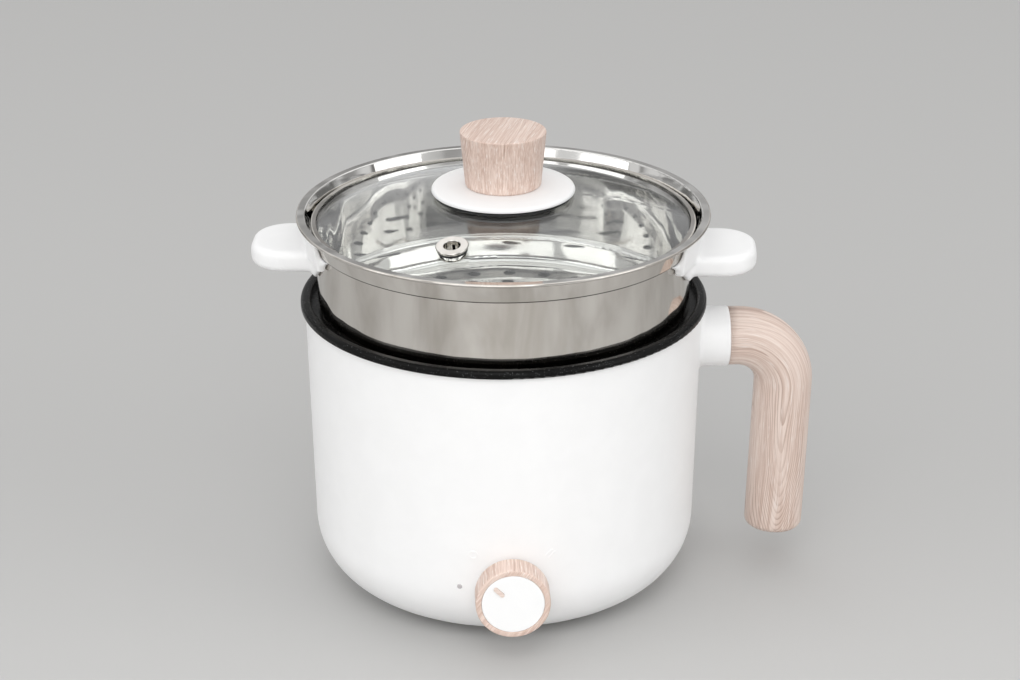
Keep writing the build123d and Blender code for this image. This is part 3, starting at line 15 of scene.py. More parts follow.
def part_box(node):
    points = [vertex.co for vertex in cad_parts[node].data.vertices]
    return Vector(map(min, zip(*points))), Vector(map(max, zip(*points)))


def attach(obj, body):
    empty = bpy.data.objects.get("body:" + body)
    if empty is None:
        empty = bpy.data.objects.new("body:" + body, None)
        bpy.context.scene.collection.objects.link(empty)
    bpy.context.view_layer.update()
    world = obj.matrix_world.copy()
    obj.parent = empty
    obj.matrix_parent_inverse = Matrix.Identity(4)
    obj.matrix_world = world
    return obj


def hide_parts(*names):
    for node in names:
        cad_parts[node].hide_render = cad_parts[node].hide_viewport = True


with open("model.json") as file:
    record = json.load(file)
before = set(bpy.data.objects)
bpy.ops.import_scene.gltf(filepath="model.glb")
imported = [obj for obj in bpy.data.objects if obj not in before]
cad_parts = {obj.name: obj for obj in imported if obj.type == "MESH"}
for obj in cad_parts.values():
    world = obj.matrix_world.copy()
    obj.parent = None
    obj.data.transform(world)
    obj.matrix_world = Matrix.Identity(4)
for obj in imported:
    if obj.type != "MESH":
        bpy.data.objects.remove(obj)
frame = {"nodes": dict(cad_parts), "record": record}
bpy.context.view_layer.update()

log = logging.getLogger("hot_pot")

Triple = tuple[float, float, float]
Colour = Triple
Node = bpy.types.Node
Socket = bpy.types.NodeSocket
Given = bpy.types.NodeOutputs
Result = bpy.types.NodeInputs
Piece = bpy.types.Object
Ramp = tuple[float, ...]

MM = 0.001
WELD = 0.002 * MM  # points closer than this are made one
END_FACE = 0.7  # the share of an end face's normal that lies along the axis, at least
SHARP = 35.0  # edges past this angle in degrees stay sharp
FLECK_REACH = 0.42  # how far a fleck reaches from its cell's middle


# ---------- node benches
class Bench:
    """Places shader nodes in one node tree and joins them."""

    def __init__(self, tree: bpy.types.NodeTree) -> None:
        """Work on a material's or a group's node tree."""
        self.tree = tree

    def place(self, kind: str, inputs: dict | None = None, **settings: object) -> Node:
        """Add a node, set its options and fill or join its inputs.

        Args:
            kind: The node's type name.
            inputs: Values or output sockets by input name or index.
            **settings: Options set on the node itself.

        Returns:
            The new node.
        """
        node = self.tree.nodes.new(kind)
        for option, value in settings.items():
            setattr(node, option, value)
        for name, value in (inputs or {}).items():
            if isinstance(value, Socket):
                self.join(value, node.inputs[name])
            else:
                node.inputs[name].default_value = value
        return node

    def join(self, value: Socket, target: Socket) -> None:
        """Join an output socket to an input socket."""
        self.tree.links.new(value, target)

    def noise(self, vector: Socket, scale: object, detail: float = 2.0, roughness: float = 0.5,
              distortion: float = 0.0) -> Socket:
        """Read noise at a vector and return its value, about 0.5 on average."""
        values = {"Vector": vector, "Scale": scale, "Detail": detail, "Roughness": roughness,
                  "Distortion": distortion}
        return self.place("ShaderNodeTexNoise", values).outputs["Fac"]

    def stretch(self, vector: Socket, scale: Sequence[float]) -> Socket:
        """Scale a pattern's coordinates by a factor along each axis."""
        values = {"Vector": vector, "Scale": scale}
        return self.place("ShaderNodeMapping", values).outputs["Vector"]

    def math(self, operation: str, first: object, second: object = 0.0,
             third: object = 0.0) -> Socket:
        """Return the result of an operation on up to three numbers or sockets."""
        values = {0: first, 1: second, 2: third}
        return self.place("ShaderNodeMath", values, operation=operation).outputs[0]

    def times(self, first: object, second: object) -> Socket:
        """Return the product of two numbers or sockets."""
        return self.math("MULTIPLY", first, second)

    def remap(self, value: Socket, low: object, high: object, to_low: object = 0.0,
              to_high: object = 1.0) -> Socket:
        """Map a value's range smoothly from low and high to another range, and return it."""
        values = {"Value": value, "From Min": low, "From Max": high, "To Min": to_low,
                  "To Max": to_high}
        return self.place("ShaderNodeMapRange", values, interpolation_type="SMOOTHSTEP").outputs[0]

    def blend(self, share: object, first: object, second: object) -> Socket:
        """Mix a share of the second colour into the first; either is a tuple or a socket."""
        values = {0: share, 6: opaque(first), 7: opaque(second)}
        return self.place("ShaderNodeMix", values, data_type="RGBA").outputs[2]


def opaque(colour: object) -> object:
    """Give a plain colour its alpha of 1, and leave a socket as it is."""
    return colour if isinstance(colour, Socket) else (*colour[:3], 1.0)


# ---------- shared node groups
class Recipe(Enum):
    """The shared surface effects, each built once as a node group."""

    RELIEF = "fine_relief"
    PATCHES = "soft_patches"
    WOOD = "printed_wood"
    FLECKS = "mica_flecks"


def open_group(recipe: Recipe, inputs: dict[str, float | Colour],
               outputs: dict[str, str]) -> tuple[Bench, Given, Result]:
    """Start a node group that reads a Vector and other named inputs.

    Args:
        recipe: The effect that the group holds.
        inputs: Default by name, for numbers and colours.
        outputs: Float, Vector or Color by name.

    Returns:
        The group's bench, the sockets that bring its inputs and those that take its results.
    """
    group = bpy.data.node_groups.new(recipe.value, "ShaderNodeTree")
    panel = group.interface
    panel.new_socket(name="Vector", in_out="INPUT", socket_type="NodeSocketVector")
    for name, default in inputs.items():
        plain = isinstance(default, float)
        kind = "NodeSocketFloat" if plain else "NodeSocketColor"
        socket = panel.new_socket(name=name, in_out="INPUT", socket_type=kind)
        socket.default_value = default if plain else opaque(default)
    for name, kind in outputs.items():
        panel.new_socket(name=name, in_out="OUTPUT", socket_type=f"NodeSocket{kind}")
    bench = Bench(group)
    given = bench.place("NodeGroupInput").outputs
    return bench, given, bench.place("NodeGroupOutput").inputs


def build_relief() -> None:
    """Build the fine moulded or cast relief, put out as a normal."""
    bench, given, result = open_group(
        Recipe.RELIEF, {"Scale": 1000.0, "Depth": 0.00002, "Waves": 30.0, "Wave Depth": 0.0},
        {"Normal": "Vector"})
    grain = bench.noise(given["Vector"], given["Scale"], detail=3.0, roughness=0.6)
    waves = bench.noise(given["Vector"], given["Waves"], detail=1.0, roughness=0.4)
    fine = bench.times(grain, given["Depth"])
    broad = bench.times(waves, given["Wave Depth"])
    height = bench.math("ADD", fine, broad)
    bump = bench.place("ShaderNodeBump", {"Strength": 1.0, "Distance": 1.0, "Height": height})
    bench.join(bump.outputs["Normal"], result["Normal"])


def build_patches() -> None:
    """Build broad soft patches between two values, for roughness, faint stains and the steels'
    painted reflection streaks.
    """
    bench, given, result = open_group(
        Recipe.PATCHES, {"Scale": 30.0, "Low": 0.0, "High": 1.0}, {"Value": "Float"})
    broad = bench.noise(given["Vector"], given["Scale"], detail=4.0, roughness=0.55,
                        distortion=0.4)
    value = bench.remap(broad, low=0.32, high=0.68, to_low=given["Low"], to_high=given["High"])
    bench.join(value, result["Value"])


def build_flecks() -> None:
    """Build scattered bright mica flecks, put out as a mask."""
    bench, given, result = open_group(
        Recipe.FLECKS, {"Scale": 2500.0, "Share": 0.05}, {"Mask": "Float"})
    cells = bench.place("ShaderNodeTexVoronoi",
                        {"Vector": given["Vector"], "Scale": given["Scale"]})
    chance = bench.place("ShaderNodeSeparateColor", {"Color": cells.outputs["Color"]})
    limit = bench.math("SUBTRACT", 1.0, given["Share"])
    picked = bench.math("GREATER_THAN", chance.outputs["Red"], limit)
    core = bench.math("LESS_THAN", cells.outputs["Distance"], FLECK_REACH)
    bench.join(bench.times(picked, core), result["Mask"])


@dataclass(frozen=True)
class Noise:
    """A layer of noise: its bumps per metre along each axis, and how its finer layers mix in."""

    scale: Triple
    detail: float = 2.0
    roughness: float = 0.5
    distortion: float = 0.0

    def read(self, bench: Bench, vector: Socket) -> Socket:
        """Place the layer and return its value."""
        place = bench.stretch(vector, self.scale)
        return bench.noise(place, 1.0, self.detail, self.roughness, self.distortion)


@dataclass(frozen=True)
class WoodPattern:
    """The make-up of printed wood, with X along the grain, Y across it and Z into the depth.

    Lengths are in metres. A ramp is a range of values and, if not 0 to 1, what it is mapped to.
    """

    sway: Noise = Noise((16.0, 45.0, 45.0), 1.0, 0.4)
    sway_reach: float = 0.014
    bow_softness: float = 0.00005
    bow_slope: float = 2.6
    arch_length: float = 0.030
    arch_narrowing: float = 4500.0
    depth_share: float = 0.35
    wobble: Noise = Noise((35.0, 110.0, 110.0))
    wobble_reach: float = 0.0022
    line_rise: Ramp = (0.45, 0.93)
    line_fall: Ramp = (1.0, 0.94)
    strength: Noise = Noise((18.0, 120.0, 120.0))
    strength_ramp: Ramp = (0.36, 0.62, 0.15, 0.85)
    streaks: Noise = Noise((24.0, 900.0, 900.0), 5.0, 0.66, 0.1)
    streak_ramp: Ramp = (0.36, 0.66, 0.0, 0.75)
    bands: Noise = Noise((12.0, 110.0, 110.0), 2.0, 0.5, 0.3)
    band_ramp: Ramp = (0.4, 0.68, 0.0, 0.3)
    pores: Noise = Noise((180.0, 3400.0, 3400.0), 2.0, 0.6)
    pore_ramp: Ramp = (0.58, 0.74)
    pore_weight: float = 0.22
    flecks: Noise = Noise((90.0, 1700.0, 1700.0), 2.0, 0.55)
    fleck_ramp: Ramp = (0.57, 0.70)
    fleck_colour: Colour = (0.90, 0.84, 0.80)
    base_roughness: float = 0.42
    tone_roughness: float = 0.10
    pore_roughness: float = 0.12
    streak_height: float = 0.8
    pore_height: float = -0.6

    def rings(self, bench: Bench, grain: Socket, arch: Socket) -> Socket:
        """Return how far out from the heart a point lies, with arches that close from X = 0.

        Args:
            bench: The group's bench.
            grain: The grain's coordinates.
            arch: How far along the grain the arches reach.

        Returns:
            The distance through the growth rings.
        """
        axes = bench.place("ShaderNodeSeparateXYZ", {"Vector": grain}).outputs
        sway = self.sway.read(bench, grain)
        sway = bench.math("MULTIPLY_ADD", sway, self.sway_reach, -self.sway_reach / 2)
        across = bench.math("ADD", axes["Y"], sway)
        bowed = bench.math("MULTIPLY_ADD", across, across, self.bow_softness)
        bowed = bench.times(bench.math("SQRT", bowed), self.bow_slope)
        rise = bench.math("DIVIDE", axes["X"], -self.arch_length)
        closing = bench.math("SUBTRACT", 1.0, bench.math("EXPONENT", rise))
        closing = bench.times(closing, arch)
        window = bench.times(across, across)
        window = bench.times(window, -self.arch_narrowing)
        closing = bench.times(closing, bench.math("EXPONENT", window))
        ring = bench.math("SUBTRACT", bowed, closing)
        ring = bench.math("MULTIPLY_ADD", axes["Z"], self.depth_share, ring)
        return bench.math("MULTIPLY_ADD", self.wobble.read(bench, grain), self.wobble_reach, ring)

    def lines(self, bench: Bench, grain: Socket, ring: Socket, per_metre: Socket) -> Socket:
        """Return the growth lines' darkness, which comes and goes along the grain.

        Args:
            bench: The group's bench.
            grain: The grain's coordinates.
            ring: The distance through the growth rings.
            per_metre: Lines per metre of that distance.

        Returns:
            The darkness, from 0 to 1.
        """
        phase = bench.math("FRACT", bench.times(ring, per_metre))
        line = bench.remap(phase, *self.line_rise)
        line = bench.times(line, bench.remap(phase, *self.line_fall))
        strength = bench.remap(self.strength.read(bench, grain), *self.strength_ramp)
        return bench.times(line, strength)


def build_wood() -> None:
    """Build printed wood: growth lines, long streaks, pores and pale flecks along the grain."""
    bench, given, result = open_group(
        Recipe.WOOD,
        {"Arch": 0.0, "Lines": 420.0, "Line Weight": 0.8, "Fleck Weight": 0.5,
         "Pale": (0.7, 0.6, 0.5), "Middle": (0.6, 0.5, 0.4), "Dark": (0.4, 0.3, 0.2)},
        {"Color": "Color", "Roughness": "Float", "Height": "Float"})
    pattern = WoodPattern()
    grain = given["Vector"]
    dark = given["Dark"]
    ring = pattern.rings(bench, grain, given["Arch"])
    line = pattern.lines(bench, grain, ring, given["Lines"])
    streak = pattern.streaks.read(bench, grain)
    band = bench.remap(pattern.bands.read(bench, grain), *pattern.band_ramp)
    pores = bench.remap(pattern.pores.read(bench, grain), *pattern.pore_ramp)
    flecks = bench.remap(pattern.flecks.read(bench, grain), *pattern.fleck_ramp)
    tone = bench.math("ADD", bench.remap(streak, *pattern.streak_ramp), band)
    colour = bench.blend(tone, given["Pale"], given["Middle"])
    line = bench.times(line, given["Line Weight"])
    colour = bench.blend(line, colour, dark)
    colour = bench.blend(bench.times(pores, pattern.pore_weight), colour, dark)
    flecks = bench.times(flecks, given["Fleck Weight"])
    bench.join(bench.blend(flecks, colour, pattern.fleck_colour), result["Color"])
    rough = bench.math("MULTIPLY_ADD", tone, pattern.tone_roughness, pattern.base_roughness)
    rough = bench.math("MULTIPLY_ADD", pores, pattern.pore_roughness, rough)
    bench.join(rough, result["Roughness"])
    height = bench.times(streak, pattern.streak_height)
    height = bench.math("MULTIPLY_ADD", pores, pattern.pore_height, height)
    bench.join(height, result["Height"])


# ---------- finishes
@dataclass(frozen=True)
class Finish:
    """A plain moulded, cast or rolled surface with fine relief and soft patches.

    Lengths are in metres, scales are bumps per metre, and stains are finer than patches; on the
    steels these stains are painted reflection streaks, on the other finishes real faint stains.
    """

    name: str
    colour: Colour
    shade: Colour
    roughness: tuple[float, float] = (0.4, 0.5)
    metallic: float = 0.0
    relief_scale: float = 1600.0
    relief_depth: float = 0.000012
    wave_scale: float = 20.0
    wave_depth: float = 0.0
    patch_scale: float = 25.0
    stain_and_painted_reflection_fineness: float = 2.7
    specular: float = 0.5
    coat: float = 0.0
    coat_roughness: float = 0.1
    transmission: float = 0.0
    stretch: Triple = (1.0, 1.0, 1.0)

    def material(self) -> bpy.types.Material:
        """Build the material, with its colour, roughness and relief read at Object coordinates.

        Returns:
            The material.
        """
        made = bpy.data.materials.new(self.name)
        made.use_nodes = True
        made.node_tree.nodes.clear()
        bench = Bench(made.node_tree)
        shader = bench.place("ShaderNodeBsdfPrincipled", {
            "Base Color": opaque(self.colour), "Metallic": self.metallic,
            "Specular IOR Level": self.specular, "Transmission Weight": self.transmission,
            "Coat Weight": self.coat, "Coat Roughness": self.coat_roughness})
        place = bench.place("ShaderNodeTexCoord").outputs["Object"]
        self.paint(bench, shader, bench.stretch(place, self.stretch))
        output = bench.place("ShaderNodeOutputMaterial")
        bench.join(shader.outputs["BSDF"], output.inputs["Surface"])
        return made

    def paint(self, bench: Bench, shader: Node, place: Socket) -> None:
        """Join the patches and the relief to the shader.

        Args:
            bench: The material's bench.
            shader: The Principled node.
            place: The pattern's coordinates.
        """
        patches = use(bench, Recipe.PATCHES, {"Vector": place, "Scale": self.patch_scale,
                                              "Low": self.roughness[0], "High": self.roughness[1]})
        bench.join(patches.outputs["Value"], shader.inputs["Roughness"])
        # real faint stains on most finishes; on the steels a painted reflection, darker tall
        # streaks in the colour
        stains_and_painted_reflection = use(bench, Recipe.PATCHES, {
            "Vector": place, "Scale": self.patch_scale * self.stain_and_painted_reflection_fineness})
        colour = bench.blend(stains_and_painted_reflection.outputs["Value"], self.colour, self.shade)
        bench.join(colour, shader.inputs["Base Color"])
        relief = use(bench, Recipe.RELIEF, {"Vector": place, "Scale": self.relief_scale,
                                            "Depth": self.relief_depth, "Waves": self.wave_scale,
                                            "Wave Depth": self.wave_depth})
        bench.join(relief.outputs["Normal"], shader.inputs["Normal"])


def use(bench: Bench, recipe: Recipe, inputs: dict) -> Node:
    """Place a shared node group with its own values and sockets by input name."""
    return bench.place("ShaderNodeGroup", inputs, node_tree=bpy.data.node_groups[recipe.value])


@dataclass(frozen=True)
class NonStick(Finish):
    """A sprayed non-stick coat with mica flecks in it."""

    fleck: Colour = (0.16, 0.16, 0.165)
    fleck_scale: float = 2800.0
    fleck_share: float = 0.035

    def paint(self, bench: Bench, shader: Node, place: Socket) -> None:
        """Join the coat's patches, relief and flecks to the shader.

        Args:
            bench: The material's bench.
            shader: The Principled node.
            place: The pattern's coordinates.
        """
        super().paint(bench, shader, place)
        flecks = use(bench, Recipe.FLECKS, {"Vector": place, "Scale": self.fleck_scale,
                                            "Share": self.fleck_share})
        base = shader.inputs["Base Color"]
        bench.join(bench.blend(flecks.outputs["Mask"], base.links[0].from_socket, self.fleck), base)


@dataclass(frozen=True)
class SteelWithPaintedCreaseShade(Finish):
    """Drawn steel with a dark painted shade line under the step where the wall steps out to the
    mouth.
    """

    # the crease fields paint a dark shade line into the colour, below the mouth's step
    crease_shade_height: float = 0.18135
    crease_shade_width: float = 0.00043
    crease_shade_radius: float = 0.0912
    crease_shade_fade: Ramp = (1.6, 0.6)
    painted_crease_shade_colour: Colour = (0.03, 0.028, 0.026)
    floor_heights: Ramp = (0.136, 0.146)
    floor_wave_depth: float = 0.0006
    outwards_from: float = 0.01
    # painted light: the colour of the inner faces, brighter than the outside to stand in for light
    # bounced round the inside
    painted_inside_light_colour: Colour = (0.80, 0.79, 0.77)

    def paint(self, bench: Bench, shader: Node, place: Socket) -> None:
        """Join the drawn surface, painted brighter on its inner faces as painted light and flatter
        on its floor, and its painted crease shade.

        Args:
            bench: The material's bench.
            shader: The Principled node.
            place: The pattern's coordinates.
        """
        super().paint(bench, shader, place)
        spot = bench.place("ShaderNodeTexCoord").outputs["Object"]
        axes = bench.place("ShaderNodeSeparateXYZ", {"Vector": spot}).outputs
        depth = bench.remap(axes["Z"], *self.floor_heights, self.floor_wave_depth, self.wave_depth)
        relief = shader.inputs["Normal"].links[0].from_node
        bench.join(depth, relief.inputs["Wave Depth"])
        # painted shade: a thin dark band in the base colour at the step's height, outside the wall
        # only
        off = bench.math("ABSOLUTE", bench.math("SUBTRACT", axes["Z"], self.crease_shade_height))
        line = bench.remap(off, *(self.crease_shade_width * share for share in self.crease_shade_fade))
        flat = bench.place("ShaderNodeCombineXYZ", {"X": axes["X"], "Y": axes["Y"]})
        flat = flat.outputs["Vector"]
        radius = bench.place("ShaderNodeVectorMath", {0: flat}, operation="LENGTH")
        beyond = bench.math("GREATER_THAN", radius.outputs["Value"], self.crease_shade_radius)
        line = bench.times(line, beyond)
        base = shader.inputs["Base Color"].links[0].from_socket
        # painted light: faces that turn inwards get the brighter inside colour
        facing = bench.place("ShaderNodeNewGeometry").outputs["Normal"]
        turned = bench.place("ShaderNodeVectorMath", {0: facing, 1: flat}, operation="DOT_PRODUCT")
        outside = bench.math("GREATER_THAN", turned.outputs["Value"], self.outwards_from)
        colour = bench.blend(outside, self.painted_inside_light_colour, base)
        # paint the crease shade over the colour
        colour = bench.blend(line, colour, self.painted_crease_shade_colour)
        bench.join(colour, shader.inputs["Base Color"])


@dataclass(frozen=True)
class WoodLook(Finish):
    """A printed wood film under a satin coat, read at the piece's own grain attribute."""

    dark: Colour = (0.37, 0.225, 0.17)
    arch: float = 0.0
    lines: float = 330.0
    line_weight: float = 0.8
    fleck_weight: float = 0.5

    def paint(self, bench: Bench, shader: Node, place: Socket) -> None:
        """Join the printed wood to the shader.

        Args:
            bench: The material's bench.
            shader: The Principled node.
            place: The pattern's coordinates.
        """
        grain = bench.place("ShaderNodeAttribute", attribute_name="grain").outputs["Vector"]
        wood = use(bench, Recipe.WOOD,
                   {"Vector": grain, "Arch": self.arch, "Lines": self.lines,
                    "Line Weight": self.line_weight, "Fleck Weight": self.fleck_weight,
                    "Pale": opaque(self.colour), "Middle": opaque(self.shade),
                    "Dark": opaque(self.dark)})
        bench.join(wood.outputs["Color"], shader.inputs["Base Color"])
        bench.join(wood.outputs["Roughness"], shader.inputs["Roughness"])
        bump = bench.place("ShaderNodeBump", {"Strength": 1.0, "Distance": self.relief_depth,
                                              "Height": wood.outputs["Height"]})
        bench.join(bump.outputs["Normal"], shader.inputs["Normal"])


WHITE = Finish("white_plastic", (0.90, 0.90, 0.90), (0.885, 0.885, 0.885), (0.40, 0.48))
WOOD = WoodLook("wood_look", (0.80, 0.675, 0.605), (0.595, 0.445, 0.375), relief_depth=0.00003,
                coat=0.12, coat_roughness=0.35, arch=0.034)
FINE_WOOD = replace(WOOD, name="wood_look_fine", colour=(0.84, 0.69, 0.61),
                    shade=(0.57, 0.395, 0.32), line_weight=0.65, fleck_weight=0.95)
# painted reflection: the steels' darker shade colour, stretched into tall streaks, mimics varied
# reflections in the wall
DRAWN_STEEL = SteelWithPaintedCreaseShade("polished_steel_drawn", (0.72, 0.69, 0.65), (0.47, 0.44, 0.40),
                           (0.03, 0.09), metallic=1.0, relief_scale=900.0,
                           relief_depth=0.0000015, wave_scale=38.0, wave_depth=0.0018,
                           patch_scale=13.0, stretch=(1.0, 1.0, 0.3))
FINISHES = (
    WHITE, WOOD, FINE_WOOD, DRAWN_STEEL,
    # painted reflection: darker tall streaks in the colour, as on the drawn steel
    Finish("polished_steel", (0.76, 0.735, 0.70), (0.60, 0.57, 0.53), (0.04, 0.10), metallic=1.0,
           relief_scale=900.0, relief_depth=0.0000015, wave_scale=30.0, wave_depth=0.0008,
           patch_scale=13.0, stretch=(1.0, 1.0, 0.22)),
    Finish("white_control_plastic", (0.91, 0.91, 0.91), (0.90, 0.90, 0.90), (0.30, 0.38),
           relief_depth=0.000006),
    NonStick("nonstick_black", (0.004, 0.004, 0.004), (0.007, 0.007, 0.007), (0.24, 0.32),
             relief_scale=2400.0, relief_depth=0.00004, specular=0.10),
    Finish("lid_glass", (0.97, 0.985, 0.98), (0.96, 0.98, 0.97), (0.0, 0.02), relief_depth=0.0,
           transmission=1.0),
    Finish("black_silicone", (0.018, 0.018, 0.018), (0.03, 0.03, 0.03), (0.5, 0.62)),
    Finish("grey_silicone", (0.42, 0.42, 0.41), (0.36, 0.36, 0.355), (0.55, 0.68)),
    Finish("bare_aluminium", (0.72, 0.72, 0.73), (0.60, 0.60, 0.61), (0.32, 0.5), metallic=1.0,
           relief_scale=700.0, relief_depth=0.00004),
    Finish("element_steel", (0.36, 0.35, 0.34), (0.22, 0.20, 0.19), (0.38, 0.55), metallic=1.0),
    Finish("zinc_steel", (0.63, 0.64, 0.65), (0.52, 0.53, 0.55), (0.25, 0.42), metallic=1.0),
    Finish("brass", (0.74, 0.55, 0.24), (0.60, 0.42, 0.17), (0.22, 0.36), metallic=1.0),
    Finish("black_plastic", (0.02, 0.02, 0.02), (0.03, 0.03, 0.03), (0.25, 0.35)),
    Finish("dark_plastic", (0.075, 0.068, 0.06), (0.05, 0.045, 0.04), (0.45, 0.6)),
    Finish("lamp_red", (0.56, 0.54, 0.55), (0.46, 0.43, 0.44), (0.12, 0.2), relief_depth=0.0),
    Finish("brown_insulation", (0.16, 0.06, 0.025), (0.12, 0.045, 0.02), (0.3, 0.4)),
    Finish("blue_insulation", (0.03, 0.10, 0.36), (0.02, 0.08, 0.28), (0.3, 0.4)),
    Finish("green_insulation", (0.10, 0.30, 0.04), (0.50, 0.46, 0.02), (0.3, 0.4)),
)


# ---------- modelling
def deselect() -> None:
    """Leave nothing selected."""
    for piece in list(bpy.context.selected_objects):
        piece.select_set(False)


def name_new(name: str) -> Piece:
    """Name the piece that was just added, and its mesh.

    Args:
        name: The new name.

    Returns:
        The piece.
    """
    piece = bpy.context.object
    piece.name = piece.data.name = name
    return piece


def start_point(name: str, place: Vector) -> Piece:
    """Add a plane, shrink it to one point in edit mode and stay there.

    Args:
        name: The new piece's name.
        place: Where the point lies.

    Returns:
        The piece, in edit mode with its point selected.
    """
    deselect()
    bpy.ops.mesh.primitive_plane_add(size=MM)
    piece = name_new(name)
    bpy.ops.object.mode_set(mode="EDIT")
    bpy.ops.mesh.merge(type="CENTER")
    bpy.ops.transform.translate(value=place)
    return piece


def extrude_ring(move: Vector, factor: float = 1.0, centre: Vector | None = None) -> None:
    """Extrude the selected ring in edit mode, and scale it about a centre if one is given."""
    bpy.ops.mesh.extrude_region_move(TRANSFORM_OT_translate={"value": move})
    if centre is not None:
        bpy.ops.transform.resize(value=(factor,) * 3, center_override=centre)


def trace(points: Iterable[Vector]) -> None:
    """Extrude the selected point through the others, in edit mode.

    Args:
        points: The points in order, the first one being where the selection lies.
    """
    points = list(points)
    for before, after in zip(points, points[1:]):
        bpy.ops.mesh.extrude_vertices_move(TRANSFORM_OT_translate={"value": after - before})


def close_up(piece: Piece) -> Piece:
    """Merge doubles, turn the faces outwards, leave edit mode and shade the piece.

    Args:
        piece: The piece in edit mode.

    Returns:
        The piece in object mode.
    """
    bpy.ops.mesh.select_all(action="SELECT")
    bpy.ops.mesh.remove_doubles(threshold=WELD)
    bpy.ops.mesh.normals_make_consistent(inside=False)
    bpy.ops.object.mode_set(mode="OBJECT")
    bpy.ops.object.shade_smooth_by_angle(angle=radians(SHARP))
    return piece


class Outline:
    """A half section in the XZ plane, built from corners with their own roundings."""

    def __init__(self, step: float) -> None:
        """Start an empty section whose arcs turn this many degrees a segment at most."""
        self.step = radians(step)
        self.corners: list[tuple[Vector, float]] = []

    def to(self, radius: float, height: float, rounding: float = 0.0) -> "Outline":
        """Add a corner at a distance from the axis and a height, and return the outline."""
        self.corners.append((Vector((radius, 0.0, height)), rounding))
        return self

    def points(self, closed: bool) -> list[Vector]:
        """Return the section's points in order, with the roundings as arcs.

        Args:
            closed: Whether the last corner joins the first.

        Returns:
            The points, ending at the first one if closed.
        """
        found: list[Vector] = []
        count = len(self.corners)
        for index, (corner, rounding) in enumerate(self.corners):
            if rounding <= 0 or (not closed and index in (0, count - 1)):
                found.append(corner)
                continue
            before = self.corners[index - 1][0]
            after = self.corners[(index + 1) % count][0]
            found.extend(self.arc(before, corner, after, rounding))
        return found + found[:1] if closed else found

    def arc(self, before: Vector, corner: Vector, after: Vector, rounding: float) -> list[Vector]:
        """Return the points of a rounding at a corner.

        Args:
            before: The corner before.
            corner: The corner that is rounded.
            after: The corner after.
            rounding: The rounding's radius.

        Returns:
            The arc's points, from the side of the corner before.
        """
        inward = (before - corner).normalized()
        onward = (after - corner).normalized()
        opening = inward.angle(onward)
        centre = corner + (inward + onward).normalized() * (rounding / sin(opening / 2))
        first = corner + inward * (rounding / tan(opening / 2)) - centre
        last = corner + onward * (rounding / tan(opening / 2)) - centre
        steps = max(1, round((pi - opening) / self.step))
        return [centre + rounding * first.slerp(last, share / steps) for share in range(steps + 1)]


def spin_up(name: str, points: Sequence[Vector], steps: int) -> Piece:
    """Turn a half section once round the Z axis.

    Args:
        name: The piece's name.
        points: The section's points, closed on themselves or on the axis.
        steps: Segments round the axis.

    Returns:
        The turned piece.
    """
    piece = start_point(name, points[0])
    trace(points)
    bpy.ops.mesh.select_all(action="SELECT")
    bpy.ops.mesh.spin(steps=steps, angle=tau, center=(0, 0, 0), axis=(0, 0, 1))
    return close_up(piece)


def finish_modifier(piece: Piece, kind: str, **settings: object) -> None:
    """Add a modifier with its settings and apply it.

    Args:
        piece: The piece, in object mode.
        kind: The modifier's type name.
        **settings: Its options.
    """
    modifier = piece.modifiers.new(kind.lower(), kind)
    for option, value in settings.items():
        setattr(modifier, option, value)
    bpy.context.view_layer.objects.active = piece
    bpy.ops.object.modifier_apply(modifier=modifier.name)


def settle(piece: Piece) -> None:
    """Bring a piece's place, turn and scale into its mesh.

    Args:
        piece: The piece, in object mode.
    """
    deselect()
    piece.select_set(True)
    bpy.ops.object.transform_apply(location=True, rotation=True, scale=True)


def lay_grain(piece: Piece, rule: Callable[[Vector, Vector], Vector]) -> None:
    """Store the grain's coordinates at each face corner: along, across and into the depth.

    Args:
        piece: The piece, in object mode.
        rule: Gives the coordinates for a point and the normal of its face.
    """
    mesh = piece.data
    attribute = mesh.attributes.new("grain", "FLOAT_VECTOR", "CORNER")
    for face in mesh.polygons:
        for corner in face.loop_indices:
            place = mesh.vertices[mesh.loops[corner].vertex_index].co
            attribute.data[corner].vector = rule(place, face.normal)


def slant(first: float, second: float, turn: float) -> tuple[float, float]:
    """Turn a point of a face's plane, and return how far along and across the grain it lies."""
    return first * cos(turn) + second * sin(turn), second * cos(turn) - first * sin(turn)


# ---------- the frame
@dataclass(frozen=True)
class Extent:
    """The box round a carried-over node, in metres."""

    low: Vector
    high: Vector

    @classmethod
    @cache
    def of(cls, node: str) -> "Extent":
        """Read a node's box from the frame."""
        return cls(*(Vector(corner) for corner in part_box(node)))

    @property
    def middle(self) -> Vector:
        """The box's middle."""
        return (self.low + self.high) / 2

    @property
    def size(self) -> Vector:
        """The box's lengths along the axes."""
        return self.high - self.low


class Workshop:
    """Holds the finishes as materials and dresses pieces with them."""

    def __init__(self) -> None:
        """Build the shared node groups and every finish."""
        build_relief()
        build_patches()
        build_flecks()
        build_wood()
        self.materials = {finish.name: finish.material() for finish in FINISHES}

    def dress(self, piece: Piece, name: str) -> None:
        """Give a piece one finish all over.

        Args:
            piece: A new piece or a carried-over node.
            name: The finish's name.
        """
        slots = piece.data.materials
        if len(slots) == 0:
            slots.append(None)
        for index in range(len(slots)):
            slots[index] = self.materials[name]

    def mount(self, piece: Piece, finish: Finish, body: str, *nodes: str) -> None:
        """Dress a new piece, let it ride on its body and stand for its nodes.

        Args:
            piece: The new piece.
            finish: Its finish.
            body: The body that carries it.
            *nodes: The nodes that it stands for.
        """
        self.dress(piece, finish.name)
        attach(piece, body)
        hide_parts(*nodes)
        log.info("%s rides on %s", piece.name, body)

    def dress_nodes(self) -> None:
        """Give every carried-over node the finish that its slot in the record names."""
        for row in frame["record"]["subparts"]:
            self.dress(frame["nodes"][row["node"]], row["material_slot"])


